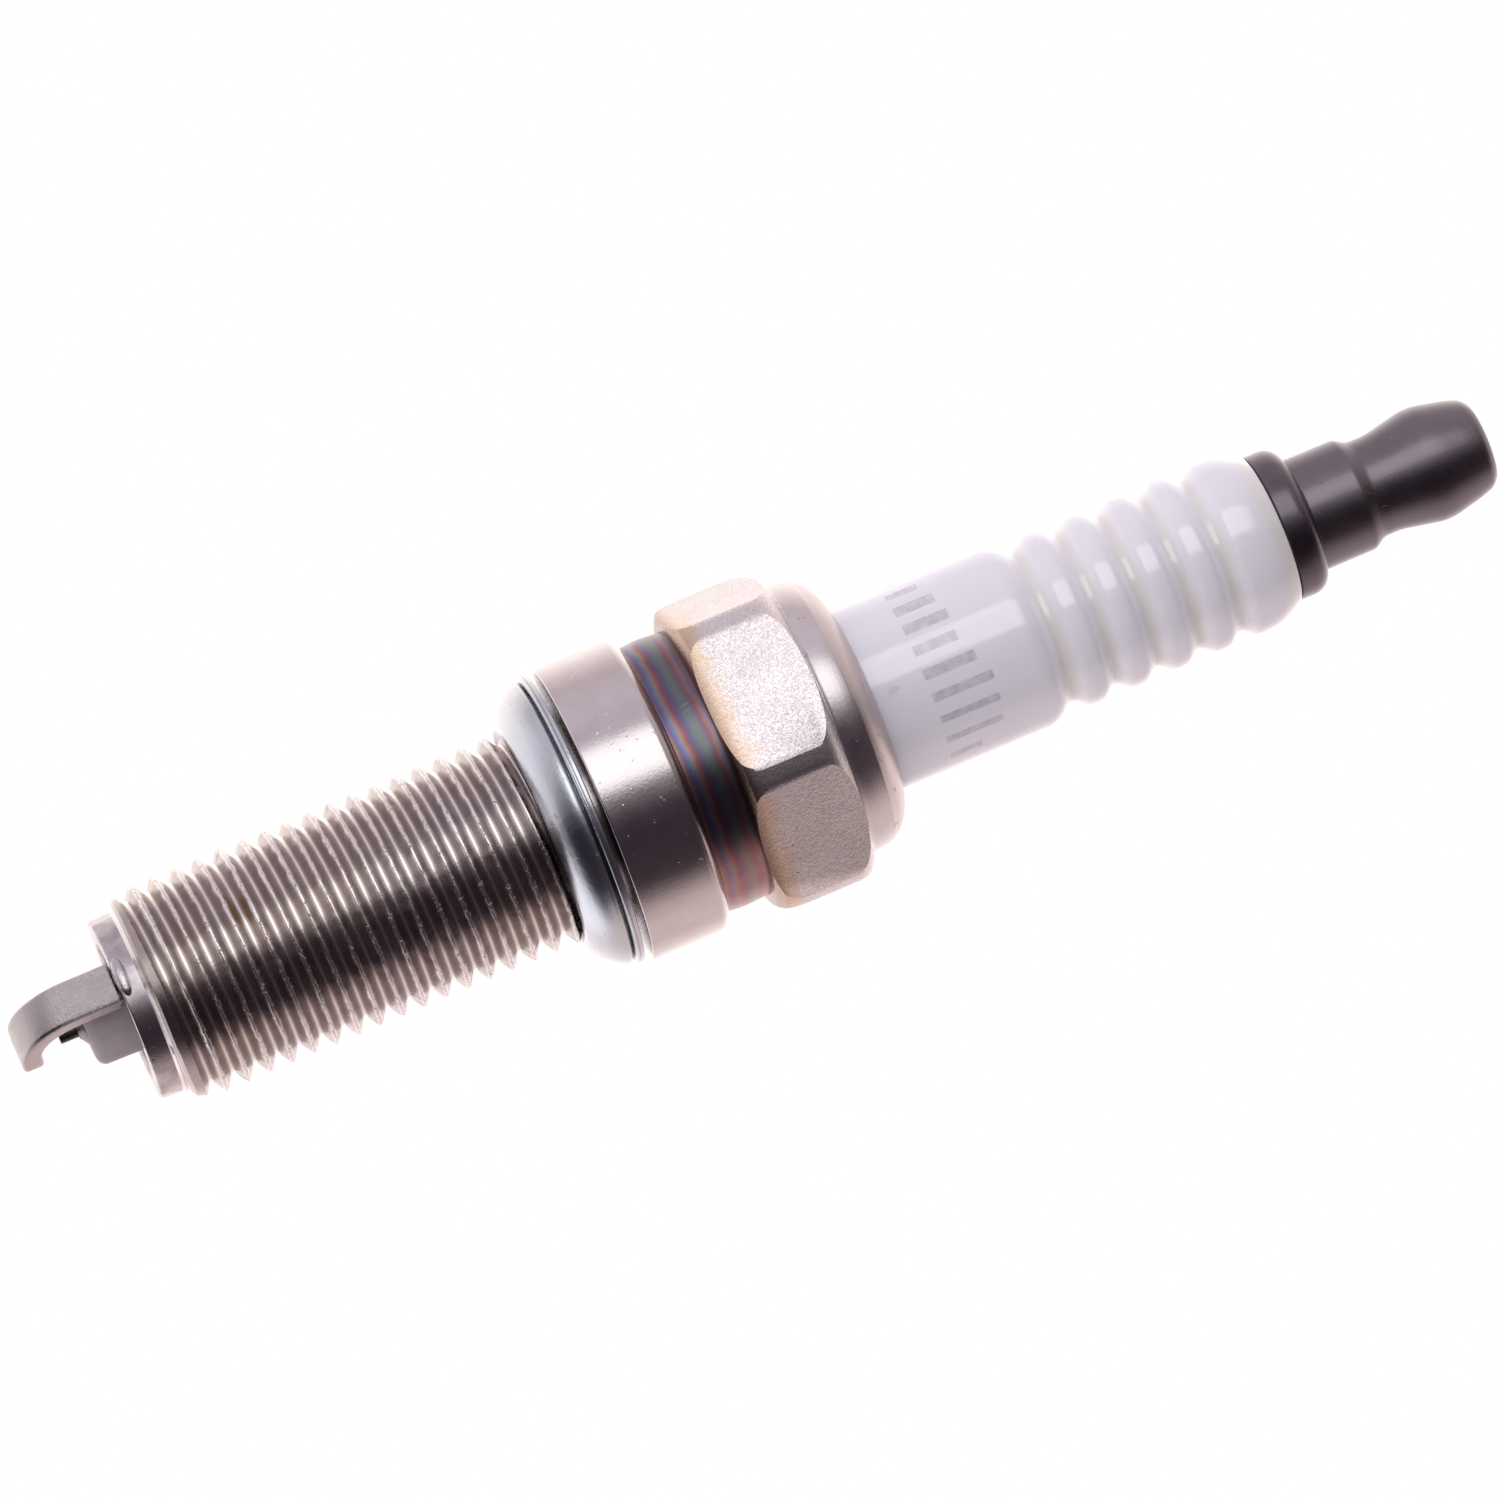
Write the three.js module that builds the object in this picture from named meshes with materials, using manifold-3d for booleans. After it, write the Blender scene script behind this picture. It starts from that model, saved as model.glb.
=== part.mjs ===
// A spark plug as its separate pieces: M12 x 1.25 thread, 26.5 mm reach, 16 mm hexagon, 6.35 mm terminal.
// Millimetres, +Z along the axis towards the terminal. z = 0 is the collar's sealing face, on the axis.
import * as THREE from 'three';
import { mergeVertices } from 'three/addons/utils/BufferGeometryUtils.js';
import Module from 'manifold-3d';

const wasm = await Module();
wasm.setup();

// ---------------------------------------------------------------- driving sizes
const FACETS = 24; // facets round every turned piece, the same on all of them so that they nest
const CURVE_STEPS = 5; // straight pieces in each rounded stretch of an outline
const PAST = 1; // how far a cutting shape runs past the faces that it cuts

// Heights along the axis
const REACH = 26.5; // sealing face to firing-end rim
const COLLAR_HEIGHT = 4.6;
const WAIST_HEIGHT = 2.5; // the thin band that is heated and squeezed shorter when the shell is crimped
const HEX_HEIGHT = 5.8;
const CRIMP_HEIGHT = 2.75; // hexagon to the end of the rolled-in lip
const INSULATOR_STAND = 23.55; // crimped lip to the insulator's upper end
const TERMINAL_HEIGHT = 12.25; // underside of the terminal's flange to its flat end

// Thread
const PITCH = 1.25;
const THREAD_RADIUS = 5.92; // over the crests
const THREAD_DEPTH = 0.7;
const CREST_WIDTH = 0.18;
const FLANK_SLOPE = Math.tan(Math.PI / 6);
const THREAD_START_FACET = 7; // facets round from +X to where the thread fades in
const THREAD_START = 1.16; // rim to the start of the thread
const FADE_IN_TURNS = 0.9;
const FADE_OUT_TURNS = 0.35;
const LEAST_FADE = 0.02; // height left at the ridge's two ends, as a share

// Shell
const PILOT_STEP = 0.22; // the plain end is this much smaller than the thread's root
const PILOT_LENGTH = 1.4;
const COLLAR_RADIUS = 8.33;
const COLLAR_CHAMFER = 0.55;
const WAIST_WALL = 1.5;
const WAIST_BULGE = 0.08;
const HEX_ACROSS_FLATS = 16;
const HEX_CORNER_RADIUS = 8.95; // the corners are turned off to this radius
const HEX_LOWER_CHAMFER = 0.7; // height gained for each unit of radius
const HEX_UPPER_CHAMFER = 0.5;
const CRIMP_WALL = 1.58;
const CRIMP_STRAIGHT = 0.4; // upright part of the crimped shoulder
const CRIMP_TAPER = [0.28, 1.45]; // how far in and up the shoulder leans before it rolls over
const CRIMP_ROLL = [0.85, 0.45]; // pull of the roll, in from the shoulder and down from the lip
const LIP_THICKNESS = 1.2;
const POCKET_RADIUS = 3.7; // the hollow round the insulator's nose
const THROAT_RADIUS = 3.25; // narrowest part, which carries the insulator
const THROAT_LENGTH = 1.3;
const SEAT_FROM_RIM = 13.6; // rim to the foot of the conical inner seat
const EDGE = 0.15; // small chamfer on turned edges

// Gasket
const GASKET_HEIGHT = 2.6;
const GASKET_GAP = 0.35; // free play under the collar
const GASKET_OUTER_STEP = 0.16; // the gasket is this much smaller than the collar
const GASKET_LAND = 0.35; // flat ring that meets the cylinder head
const GASKET_MOUTH_CLEARANCE = 0.13; // its mouth passes over the crests
const GASKET_LIP_CATCH = 0.37; // its inner lip reaches this far inside the crests
const GASKET_LIP_RISE = 0.35;
const GASKET_LIP_CLEARANCE = 0.1; // lip to thread end

// Insulator
const INSULATOR_RADIUS = 5.15;
const BOSS_STEP = 0.77; // the wide part held inside the shell stands out this much
const BOSS_START = 3.7; // sealing face to the foot of the boss's full width
const BOSS_CONE = 0.7; // height of the step from trunk to boss for each unit of radius
const TRUNK_RADIUS = 3.85;
const NOSE_RADIUS = 2.22;
const NOSE_ROOT_RADIUS = 2.9;
const NOSE_PROJECTION = 2.3; // nose beyond the rim
const NOSE_ROUND = 0.5;
const RIB_COUNT = 5;
const RIB_PITCH = 2.42;
const RIB_DEPTH = 0.56;
const RIB_CREST_STEP = 0.2; // rib crests are this much smaller than the plain part
const RIB_TOP_MARGIN = 2.45; // upper end to the crest of the last rib
const TIP_RADIUS = 4.08; // upper end, under the terminal's flange
const TIP_ROUND_HEIGHT = 1.0;

// Centre line: electrode, seals, resistor and terminal
const ELECTRODE_RADIUS = 1.0;
const ELECTRODE_CONE = 0.4; // height of the tapered tip
const ELECTRODE_CONE_RADIUS = 0.45;
const ELECTRODE_LENGTH = 18.6; // insulator tip to the underside of the head
const HEAD_STEP = 0.5; // the head is this much wider than the shank
const HEAD_HEIGHT = 1.4;
const CORE_RADIUS = 0.55;
const CORE_TIP_WALL = 1.6; // nickel left ahead of the copper
const PIN_RADIUS = 0.35;
const PIN_PROJECTION = 1.0; // pin beyond the cone
const PIN_SOCKET = 0.5;
const LOWER_SEAL_LENGTH = 3.2;
const RESISTOR_LENGTH = 8;
const UPPER_SEAL_LENGTH = 4.5;
const STUD_TAIL_RADIUS = 1.05;
const STUD_TAIL_LENGTH = 2.6;
const STUD_GROOVES = 3;
const GROOVE_DEPTH = 0.15;

// Terminal
const FLANGE_RADIUS = 4.07;
const FLANGE_HEIGHT = 1.75;
const FLANGE_ROUND = 0.8;
const POST_RADIUS = 3.12;
const POST_HEIGHT = 4.8; // flange underside to the start of the neck's chamfer
const NECK_RADIUS = 2.68;
const NECK_CHAMFER = 0.65;
const NECK_HEIGHT = 1.05;
const CLIP_HEAD_RADIUS = 3.17;
const CLIP_HEAD_RISE = 2.2; // neck to the widest part of the head
const CLIP_HEAD_BAND = 0.6;
const END_RADIUS = 2.6;
const END_ROUND = 0.65;

// Ground electrode
const STRAP_WIDTH = 2.3;
const STRAP_THICKNESS = 1.15;
const STRAP_INSET = 0.4; // edge of the rim to its outer face
const STRAP_BEND = 3.5; // outer radius of the bend
const STRAP_DROP = 6.05; // rim to the underside of the leg
const STRAP_END = 0; // how far the leg passes the axis
const STRAP_TURN = -1.9; // degrees from the hexagon's flat that faces -Y

// Internal packings
const SEAT_PACKING = 0.3; // thickness of the washer under the insulator's shoulder
const RING_RADIUS = 0.38; // wire radius of the packing rings
const RING_DROP = 1.35; // underside of the lip to the middle of the upper ring
const TALC_HEIGHT = 1.9;

// Clearances, all measured on the radius or along the axis
const FIT = 0.03; // cemented, fused, welded or packed faces
const TRUNK_CLEARANCE = 0.1;
const BOSS_CLEARANCE = 0.08;
const BORE_CLEARANCE = 0.1;
const SHOULDER_CLEARANCE = 0.3;

// ---------------------------------------------------------------- stations worked out from the sizes
const RIM_Z = -REACH;
const HEX_Z = COLLAR_HEIGHT + WAIST_HEIGHT;
const CRIMP_Z = HEX_Z + HEX_HEIGHT;
const LIP_Z = CRIMP_Z + CRIMP_HEIGHT;
const TOP_Z = LIP_Z + INSULATOR_STAND;
const NOSE_Z = RIM_Z - NOSE_PROJECTION;
const SEAT_Z = RIM_Z + SEAT_FROM_RIM;

const ROOT_RADIUS = THREAD_RADIUS - THREAD_DEPTH;
const PILOT_RADIUS = ROOT_RADIUS - PILOT_STEP;
const STRAP_RADIUS = PILOT_RADIUS - STRAP_INSET;
const TRUNK_BORE = TRUNK_RADIUS + TRUNK_CLEARANCE;
const BOSS_RADIUS = INSULATOR_RADIUS + BOSS_STEP;
const BOSS_BORE = BOSS_RADIUS + BOSS_CLEARANCE;
const LIP_RADIUS = INSULATOR_RADIUS + FIT;
const WAIST_RADIUS = BOSS_BORE + WAIST_WALL;
const CRIMP_RADIUS = BOSS_BORE + CRIMP_WALL;

const GASKET_Z = -(GASKET_GAP + GASKET_HEIGHT);
const GASKET_LIP_Z = GASKET_Z + GASKET_LIP_RISE;
const THREAD_END_Z = GASKET_LIP_Z - GASKET_LIP_CLEARANCE;

const NOSE_BORE = ELECTRODE_RADIUS + FIT;
const HEAD_RADIUS = ELECTRODE_RADIUS + HEAD_STEP;
const CENTRE_BORE = HEAD_RADIUS + BORE_CLEARANCE;
const FILL_RADIUS = CENTRE_BORE - FIT;
const HEAD_Z = NOSE_Z + ELECTRODE_LENGTH;
const HEAD_TOP_Z = HEAD_Z + HEAD_HEIGHT;
const LOWER_SEAL_Z = HEAD_TOP_Z + FIT;
const RESISTOR_Z = LOWER_SEAL_Z + LOWER_SEAL_LENGTH + FIT;
const UPPER_SEAL_Z = RESISTOR_Z + RESISTOR_LENGTH + FIT;
const SHANK_Z = UPPER_SEAL_Z + UPPER_SEAL_LENGTH + FIT;
const TERMINAL_Z = TOP_Z + FIT;

const RING_SPACE_RADIUS = (INSULATOR_RADIUS + BOSS_BORE) / 2;
const UPPER_RING_Z = LIP_Z - LIP_THICKNESS - RING_DROP;
const TALC_TOP_Z = UPPER_RING_Z - RING_RADIUS - FIT;
const TALC_Z = TALC_TOP_Z - TALC_HEIGHT;
const LOWER_RING_Z = TALC_Z - FIT - RING_RADIUS;
const BOSS_TOP_Z = LOWER_RING_Z - RING_RADIUS - FIT;

// ---------------------------------------------------------------- making solids
// A Manifold solid from a closed three.js geometry: vertices merged, flat triangles at the axis dropped.
function solid(geometry) {
  geometry.deleteAttribute('normal');
  geometry.deleteAttribute('uv');
  const merged = mergeVertices(geometry, 1e-5);
  const index = merged.index.array;
  const corners = [];
  for (let i = 0; i < index.length; i += 3) {
    const [a, b, c] = [index[i], index[i + 1], index[i + 2]];
    if (a !== b && b !== c && c !== a) corners.push(a, b, c);
  }
  const triVerts = new Uint32Array(signedVolume(merged, corners) < 0 ? corners.reverse() : corners);
  const vertProperties = new Float32Array(merged.attributes.position.array);
  return new wasm.Manifold(new wasm.Mesh({ numProp: 3, vertProperties, triVerts }));
}

function signedVolume(geometry, corners) {
  const position = geometry.attributes.position;
  const [a, b, c] = [new THREE.Vector3(), new THREE.Vector3(), new THREE.Vector3()];
  let volume = 0;
  for (let i = 0; i < corners.length; i += 3) {
    a.fromBufferAttribute(position, corners[i]);
    b.fromBufferAttribute(position, corners[i + 1]);
    c.fromBufferAttribute(position, corners[i + 2]);
    volume += a.dot(b.cross(c)) / 6;
  }
  return volume;
}

// Turns an outline of radius and height about the Z axis. A ring's outline is closed on itself.
function turned(outline) {
  const geometry = new THREE.LatheGeometry(outline.getPoints(CURVE_STEPS), FACETS);
  geometry.rotateX(Math.PI / 2);
  return solid(geometry);
}

// An outline through points of [radius, height], joined by straight lines.
function outlineOf(points) {
  const outline = new THREE.Path();
  outline.setFromPoints(points.map(([radius, height]) => new THREE.Vector2(radius, height)));
  return outline;
}

function ringOf(points) {
  return turned(outlineOf([...points, points[0]]));
}

function cylinderOf(radius, low, high) {
  return turned(outlineOf([[0, low], [radius, low], [radius, high], [0, high]]));
}

function part(name, body, color, metalness, roughness) {
  const mesh = body.getMesh();
  const geometry = new THREE.BufferGeometry();
  geometry.setAttribute('position', new THREE.Float32BufferAttribute(mesh.vertProperties, 3));
  geometry.setIndex(Array.from(mesh.triVerts));
  geometry.computeVertexNormals();
  const piece = new THREE.Mesh(geometry, new THREE.MeshStandardMaterial({ color, metalness, roughness }));
  piece.name = name;
  return piece;
}

// ---------------------------------------------------------------- metal shell
// The thread is a straight bar bent round a helix: its section is a 60 degree ridge on a root sunk in the
// core, and its steps fall on the edges between the core's facets.
function threadRidge() {
  const crest = CREST_WIDTH / 2;
  const base = crest + THREAD_DEPTH * FLANK_SLOPE;
  const sunk = PILOT_STEP + EDGE;
  const section = new THREE.Shape([
    new THREE.Vector2(-base, -sunk),
    new THREE.Vector2(base, -sunk),
    new THREE.Vector2(base, 0),
    new THREE.Vector2(crest, THREAD_DEPTH),
    new THREE.Vector2(-crest, THREAD_DEPTH),
    new THREE.Vector2(-base, 0),
  ]);
  const startZ = RIM_Z + THREAD_START;
  const steps = Math.round(((THREAD_END_Z - startZ) / PITCH) * FACETS);
  const bar = new THREE.ExtrudeGeometry(section, { depth: steps, steps, bevelEnabled: false });
  const position = bar.attributes.position;
  for (let i = 0; i < position.count; i += 1) {
    const step = position.getZ(i);
    const turns = step / FACETS;
    const turnsLeft = (steps - step) / FACETS;
    const fade = Math.max(LEAST_FADE, Math.min(1, turns / FADE_IN_TURNS, turnsLeft / FADE_OUT_TURNS));
    const angle = (2 * Math.PI * (THREAD_START_FACET + step)) / FACETS;
    const lift = position.getY(i);
    const radius = ROOT_RADIUS + (lift > 0 ? lift * fade : lift);
    const z = startZ + PITCH * turns + position.getX(i) * fade;
    position.setXYZ(i, radius * Math.cos(angle), radius * Math.sin(angle), z);
  }
  return solid(bar);
}

function shellCore() {
  const outline = new THREE.Path();
  outline.moveTo(0, RIM_Z);
  outline.lineTo(PILOT_RADIUS - EDGE, RIM_Z);
  outline.lineTo(PILOT_RADIUS, RIM_Z + EDGE);
  outline.lineTo(PILOT_RADIUS, RIM_Z + PILOT_LENGTH);
  outline.lineTo(ROOT_RADIUS, RIM_Z + PILOT_LENGTH + PILOT_STEP);
  outline.lineTo(ROOT_RADIUS, 0);
  outline.lineTo(COLLAR_RADIUS - EDGE, 0);
  outline.lineTo(COLLAR_RADIUS, EDGE);
  outline.lineTo(COLLAR_RADIUS, COLLAR_HEIGHT - COLLAR_CHAMFER);
  outline.lineTo(WAIST_RADIUS, COLLAR_HEIGHT);
  const bulge = WAIST_RADIUS + 2 * WAIST_BULGE;
  outline.quadraticCurveTo(bulge, COLLAR_HEIGHT + WAIST_HEIGHT / 2, WAIST_RADIUS, HEX_Z);
  outline.lineTo(CRIMP_RADIUS, HEX_Z + EDGE);
  outline.lineTo(CRIMP_RADIUS, CRIMP_Z + CRIMP_STRAIGHT);
  outline.lineTo(CRIMP_RADIUS - CRIMP_TAPER[0], CRIMP_Z + CRIMP_TAPER[1]);
  outline.quadraticCurveTo(CRIMP_RADIUS - CRIMP_ROLL[0], LIP_Z - CRIMP_ROLL[1], LIP_RADIUS, LIP_Z);
  outline.lineTo(0, LIP_Z);
  return turned(outline);
}

// Six flats cut on a disc whose edges are chamfered.
function hexagon() {
  const flat = HEX_ACROSS_FLATS / 2;
  const lowerRise = HEX_LOWER_CHAMFER * (HEX_CORNER_RADIUS - WAIST_RADIUS);
  const upperDrop = HEX_UPPER_CHAMFER * (HEX_CORNER_RADIUS - flat);
  const disc = turned(outlineOf([
    [0, HEX_Z],
    [WAIST_RADIUS, HEX_Z],
    [HEX_CORNER_RADIUS, HEX_Z + lowerRise],
    [HEX_CORNER_RADIUS, CRIMP_Z - upperDrop],
    [flat, CRIMP_Z],
    [0, CRIMP_Z],
  ]));
  const corners = [];
  for (let i = 0; i < 6; i += 1) {
    const angle = (i * Math.PI) / 3;
    const radius = flat / Math.cos(Math.PI / 6);
    corners.push(new THREE.Vector2(radius * Math.cos(angle), radius * Math.sin(angle)));
  }
  const bar = new THREE.ExtrudeGeometry(new THREE.Shape(corners), {
    depth: HEX_HEIGHT + 2 * PAST,
    bevelEnabled: false,
  });
  bar.translate(0, 0, HEX_Z - PAST);
  return disc.intersect(solid(bar));
}

// Height of the shell's conical inner seat at a radius; the washer and the insulator follow the same cone.
function seatHeight(radius) {
  return SEAT_Z + radius - THROAT_RADIUS;
}

function shellBore() {
  const pocketTop = SEAT_Z - THROAT_LENGTH - (POCKET_RADIUS - THROAT_RADIUS);
  const bossFoot = BOSS_START - SHOULDER_CLEARANCE;
  const outline = new THREE.Path();
  outline.moveTo(0, RIM_Z - PAST);
  outline.lineTo(POCKET_RADIUS, RIM_Z - PAST);
  outline.lineTo(POCKET_RADIUS, pocketTop);
  outline.lineTo(THROAT_RADIUS, SEAT_Z - THROAT_LENGTH);
  outline.lineTo(THROAT_RADIUS, SEAT_Z);
  outline.lineTo(TRUNK_BORE, seatHeight(TRUNK_BORE));
  outline.lineTo(TRUNK_BORE, bossFoot - (BOSS_BORE - TRUNK_BORE) * BOSS_CONE);
  outline.lineTo(BOSS_BORE, bossFoot);
  outline.lineTo(BOSS_BORE, UPPER_RING_Z);
  outline.quadraticCurveTo(BOSS_BORE, LIP_Z - LIP_THICKNESS, LIP_RADIUS, LIP_Z - LIP_THICKNESS);
  outline.lineTo(LIP_RADIUS, LIP_Z + PAST);
  outline.lineTo(0, LIP_Z + PAST);
  return turned(outline);
}

function metalShell() {
  const body = shellCore().add(threadRidge()).add(hexagon()).subtract(shellBore());
  return part('metal_shell', body, 0xb9b0ac, 1, 0.34);
}

// ---------------------------------------------------------------- gasket and ground electrode
function gasket() {
  const outer = COLLAR_RADIUS - GASKET_OUTER_STEP;
  const mouth = THREAD_RADIUS + GASKET_MOUTH_CLEARANCE;
  const lip = THREAD_RADIUS - GASKET_LIP_CATCH;
  const land = mouth + GASKET_LAND;
  const top = GASKET_Z + GASKET_HEIGHT;
  const crease = GASKET_Z + GASKET_HEIGHT * 0.75;
  const outline = new THREE.Path();
  outline.moveTo(mouth, GASKET_Z);
  outline.lineTo(land, GASKET_Z);
  outline.quadraticCurveTo(outer - EDGE, GASKET_Z + GASKET_HEIGHT * 0.2, outer - EDGE, crease - EDGE);
  outline.lineTo(outer - 2 * EDGE, crease);
  outline.lineTo(outer, crease + EDGE);
  outline.lineTo(outer, top - EDGE / 2);
  outline.lineTo(outer - EDGE / 2, top);
  outline.lineTo(mouth, top);
  outline.lineTo(lip, top - GASKET_HEIGHT * 0.35);
  outline.lineTo(lip, GASKET_LIP_Z);
  outline.lineTo(mouth, GASKET_Z + EDGE / 2);
  outline.lineTo(mouth, GASKET_Z);
  return part('gasket', turned(outline), 0xc3c7ca, 1, 0.36);
}

// A flat strap that leaves the rim, bends through a right angle and ends across the axis.
function groundElectrode() {
  const rootZ = RIM_Z - FIT;
  const legZ = RIM_Z - STRAP_DROP;
  const bendY = -STRAP_RADIUS + STRAP_BEND;
  const bendZ = legZ + STRAP_BEND;
  const inner = STRAP_BEND - STRAP_THICKNESS;
  const side = new THREE.Shape();
  side.moveTo(-STRAP_RADIUS, rootZ);
  side.lineTo(-STRAP_RADIUS, bendZ);
  side.absarc(bendY, bendZ, STRAP_BEND, Math.PI, 1.5 * Math.PI, false);
  side.lineTo(STRAP_END, legZ);
  side.lineTo(STRAP_END, legZ + STRAP_THICKNESS);
  side.lineTo(bendY, legZ + STRAP_THICKNESS);
  side.absarc(bendY, bendZ, inner, 1.5 * Math.PI, Math.PI, true);
  side.lineTo(-STRAP_RADIUS + STRAP_THICKNESS, rootZ);
  const strap = new THREE.ExtrudeGeometry(side, {
    depth: STRAP_WIDTH,
    curveSegments: 8,
    bevelEnabled: false,
  });
  // The outline was drawn as (y, z) and pulled along the third axis, so the axes are turned into place.
  strap.translate(0, 0, -STRAP_WIDTH / 2);
  strap.applyMatrix4(new THREE.Matrix4().set(0, 0, 1, 0, 1, 0, 0, 0, 0, 1, 0, 0, 0, 0, 0, 1));
  const mesh = part('ground_electrode', solid(strap), 0xaaa6a4, 1, 0.42);
  mesh.rotation.z = THREE.MathUtils.degToRad(STRAP_TURN);
  return mesh;
}

// ---------------------------------------------------------------- insulator
// The ribs are a smooth wave: four heights to each rib, from the top one down.
function ribOutline(outline) {
  const crest = INSULATOR_RADIUS - RIB_CREST_STEP;
  const lastCrest = TOP_Z - RIB_TOP_MARGIN;
  const stepsPerRib = 4;
  const lowest = RIB_COUNT * stepsPerRib - stepsPerRib / 2;
  for (let i = lowest; i >= 0; i -= 1) {
    const phase = i / stepsPerRib;
    const radius = crest - (RIB_DEPTH * (1 - Math.cos(2 * Math.PI * phase))) / 2;
    outline.lineTo(radius, lastCrest - phase * RIB_PITCH);
  }
}

function insulator() {
  const overPacking = SEAT_PACKING + 2 * FIT;
  const noseRoot = SEAT_Z - THROAT_LENGTH;
  const neck = THROAT_RADIUS - TRUNK_CLEARANCE;
  const valleyZ = TOP_Z - RIB_TOP_MARGIN - (RIB_COUNT - 0.5) * RIB_PITCH;
  const outline = new THREE.Path();
  outline.moveTo(NOSE_BORE, NOSE_Z);
  outline.lineTo(NOSE_RADIUS - NOSE_ROUND, NOSE_Z);
  outline.quadraticCurveTo(NOSE_RADIUS, NOSE_Z, NOSE_RADIUS, NOSE_Z + NOSE_ROUND);
  outline.lineTo(NOSE_RADIUS, RIM_Z);
  outline.lineTo(NOSE_ROOT_RADIUS, noseRoot - 1);
  outline.lineTo(neck, noseRoot);
  outline.lineTo(neck, seatHeight(neck) + overPacking);
  outline.lineTo(TRUNK_RADIUS, seatHeight(TRUNK_RADIUS) + overPacking);
  outline.lineTo(TRUNK_RADIUS, BOSS_START - (BOSS_RADIUS - TRUNK_RADIUS) * BOSS_CONE);
  outline.lineTo(BOSS_RADIUS, BOSS_START);
  outline.lineTo(BOSS_RADIUS, BOSS_TOP_Z - EDGE);
  outline.lineTo(BOSS_RADIUS - EDGE, BOSS_TOP_Z);
  outline.lineTo(INSULATOR_RADIUS, BOSS_TOP_Z);
  outline.lineTo(INSULATOR_RADIUS, valleyZ - 0.55 * RIB_PITCH);
  outline.quadraticCurveTo(INSULATOR_RADIUS, valleyZ - 0.2 * RIB_PITCH,
    INSULATOR_RADIUS - RIB_CREST_STEP - 0.8 * RIB_DEPTH, valleyZ - 0.1 * RIB_PITCH);
  ribOutline(outline);
  outline.quadraticCurveTo(INSULATOR_RADIUS - RIB_CREST_STEP, TOP_Z - TIP_ROUND_HEIGHT, TIP_RADIUS, TOP_Z);
  outline.lineTo(CENTRE_BORE, TOP_Z);
  outline.lineTo(CENTRE_BORE, HEAD_Z - FIT);
  outline.lineTo(NOSE_BORE, HEAD_Z - FIT - (CENTRE_BORE - NOSE_BORE));
  outline.lineTo(NOSE_BORE, NOSE_Z);
  return part('insulator', turned(outline), 0xf1eef0, 0, 0.16);
}

// ---------------------------------------------------------------- centre line
// A nickel cup, open at its head, that the copper core fills; a blind socket holds the pin.
function centerElectrode() {
  const coreSpace = CORE_RADIUS + FIT;
  const coreFloor = NOSE_Z + CORE_TIP_WALL;
  const coneTip = NOSE_Z - ELECTRODE_CONE;
  const pinSpace = PIN_RADIUS + FIT;
  const socketFloor = coneTip + PIN_SOCKET;
  const body = turned(outlineOf([
    [0, socketFloor],
    [pinSpace, socketFloor],
    [pinSpace, coneTip],
    [ELECTRODE_CONE_RADIUS, coneTip],
    [ELECTRODE_RADIUS, NOSE_Z],
    [ELECTRODE_RADIUS, HEAD_Z - HEAD_STEP],
    [HEAD_RADIUS, HEAD_Z],
    [HEAD_RADIUS, HEAD_TOP_Z],
    [coreSpace, HEAD_TOP_Z],
    [coreSpace, coreFloor],
    [0, coreFloor],
  ]));
  return part('center_electrode', body, 0x8f8a86, 1, 0.45);
}

function electrodeCore() {
  const body = cylinderOf(CORE_RADIUS, NOSE_Z + CORE_TIP_WALL + FIT, HEAD_TOP_Z - FIT);
  return part('center_electrode_core', body, 0xb8734a, 1, 0.4);
}

function iridiumPin() {
  const tip = NOSE_Z - ELECTRODE_CONE - PIN_PROJECTION;
  const socketFloor = NOSE_Z - ELECTRODE_CONE + PIN_SOCKET;
  const body = cylinderOf(PIN_RADIUS, tip, socketFloor - FIT);
  return part('iridium_pin', body, 0x4b4648, 1, 0.35);
}

function lowerGlassSeal() {
  const body = cylinderOf(FILL_RADIUS, LOWER_SEAL_Z, LOWER_SEAL_Z + LOWER_SEAL_LENGTH);
  return part('lower_glass_seal', body, 0x6f6459, 0.2, 0.5);
}

function resistor() {
  const body = cylinderOf(FILL_RADIUS, RESISTOR_Z, RESISTOR_Z + RESISTOR_LENGTH);
  return part('resistor', body, 0x3a3836, 0.1, 0.7);
}

// The upper seal has a socket fused round the tail of the terminal stud.
function upperGlassSeal() {
  const socket = STUD_TAIL_RADIUS + FIT;
  const top = UPPER_SEAL_Z + UPPER_SEAL_LENGTH;
  const floor = SHANK_Z - STUD_TAIL_LENGTH - FIT;
  const body = turned(outlineOf([
    [0, UPPER_SEAL_Z],
    [FILL_RADIUS, UPPER_SEAL_Z],
    [FILL_RADIUS, top],
    [socket, top],
    [socket, floor],
    [0, floor],
  ]));
  return part('upper_glass_seal', body, 0x6f6459, 0.2, 0.5);
}

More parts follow.
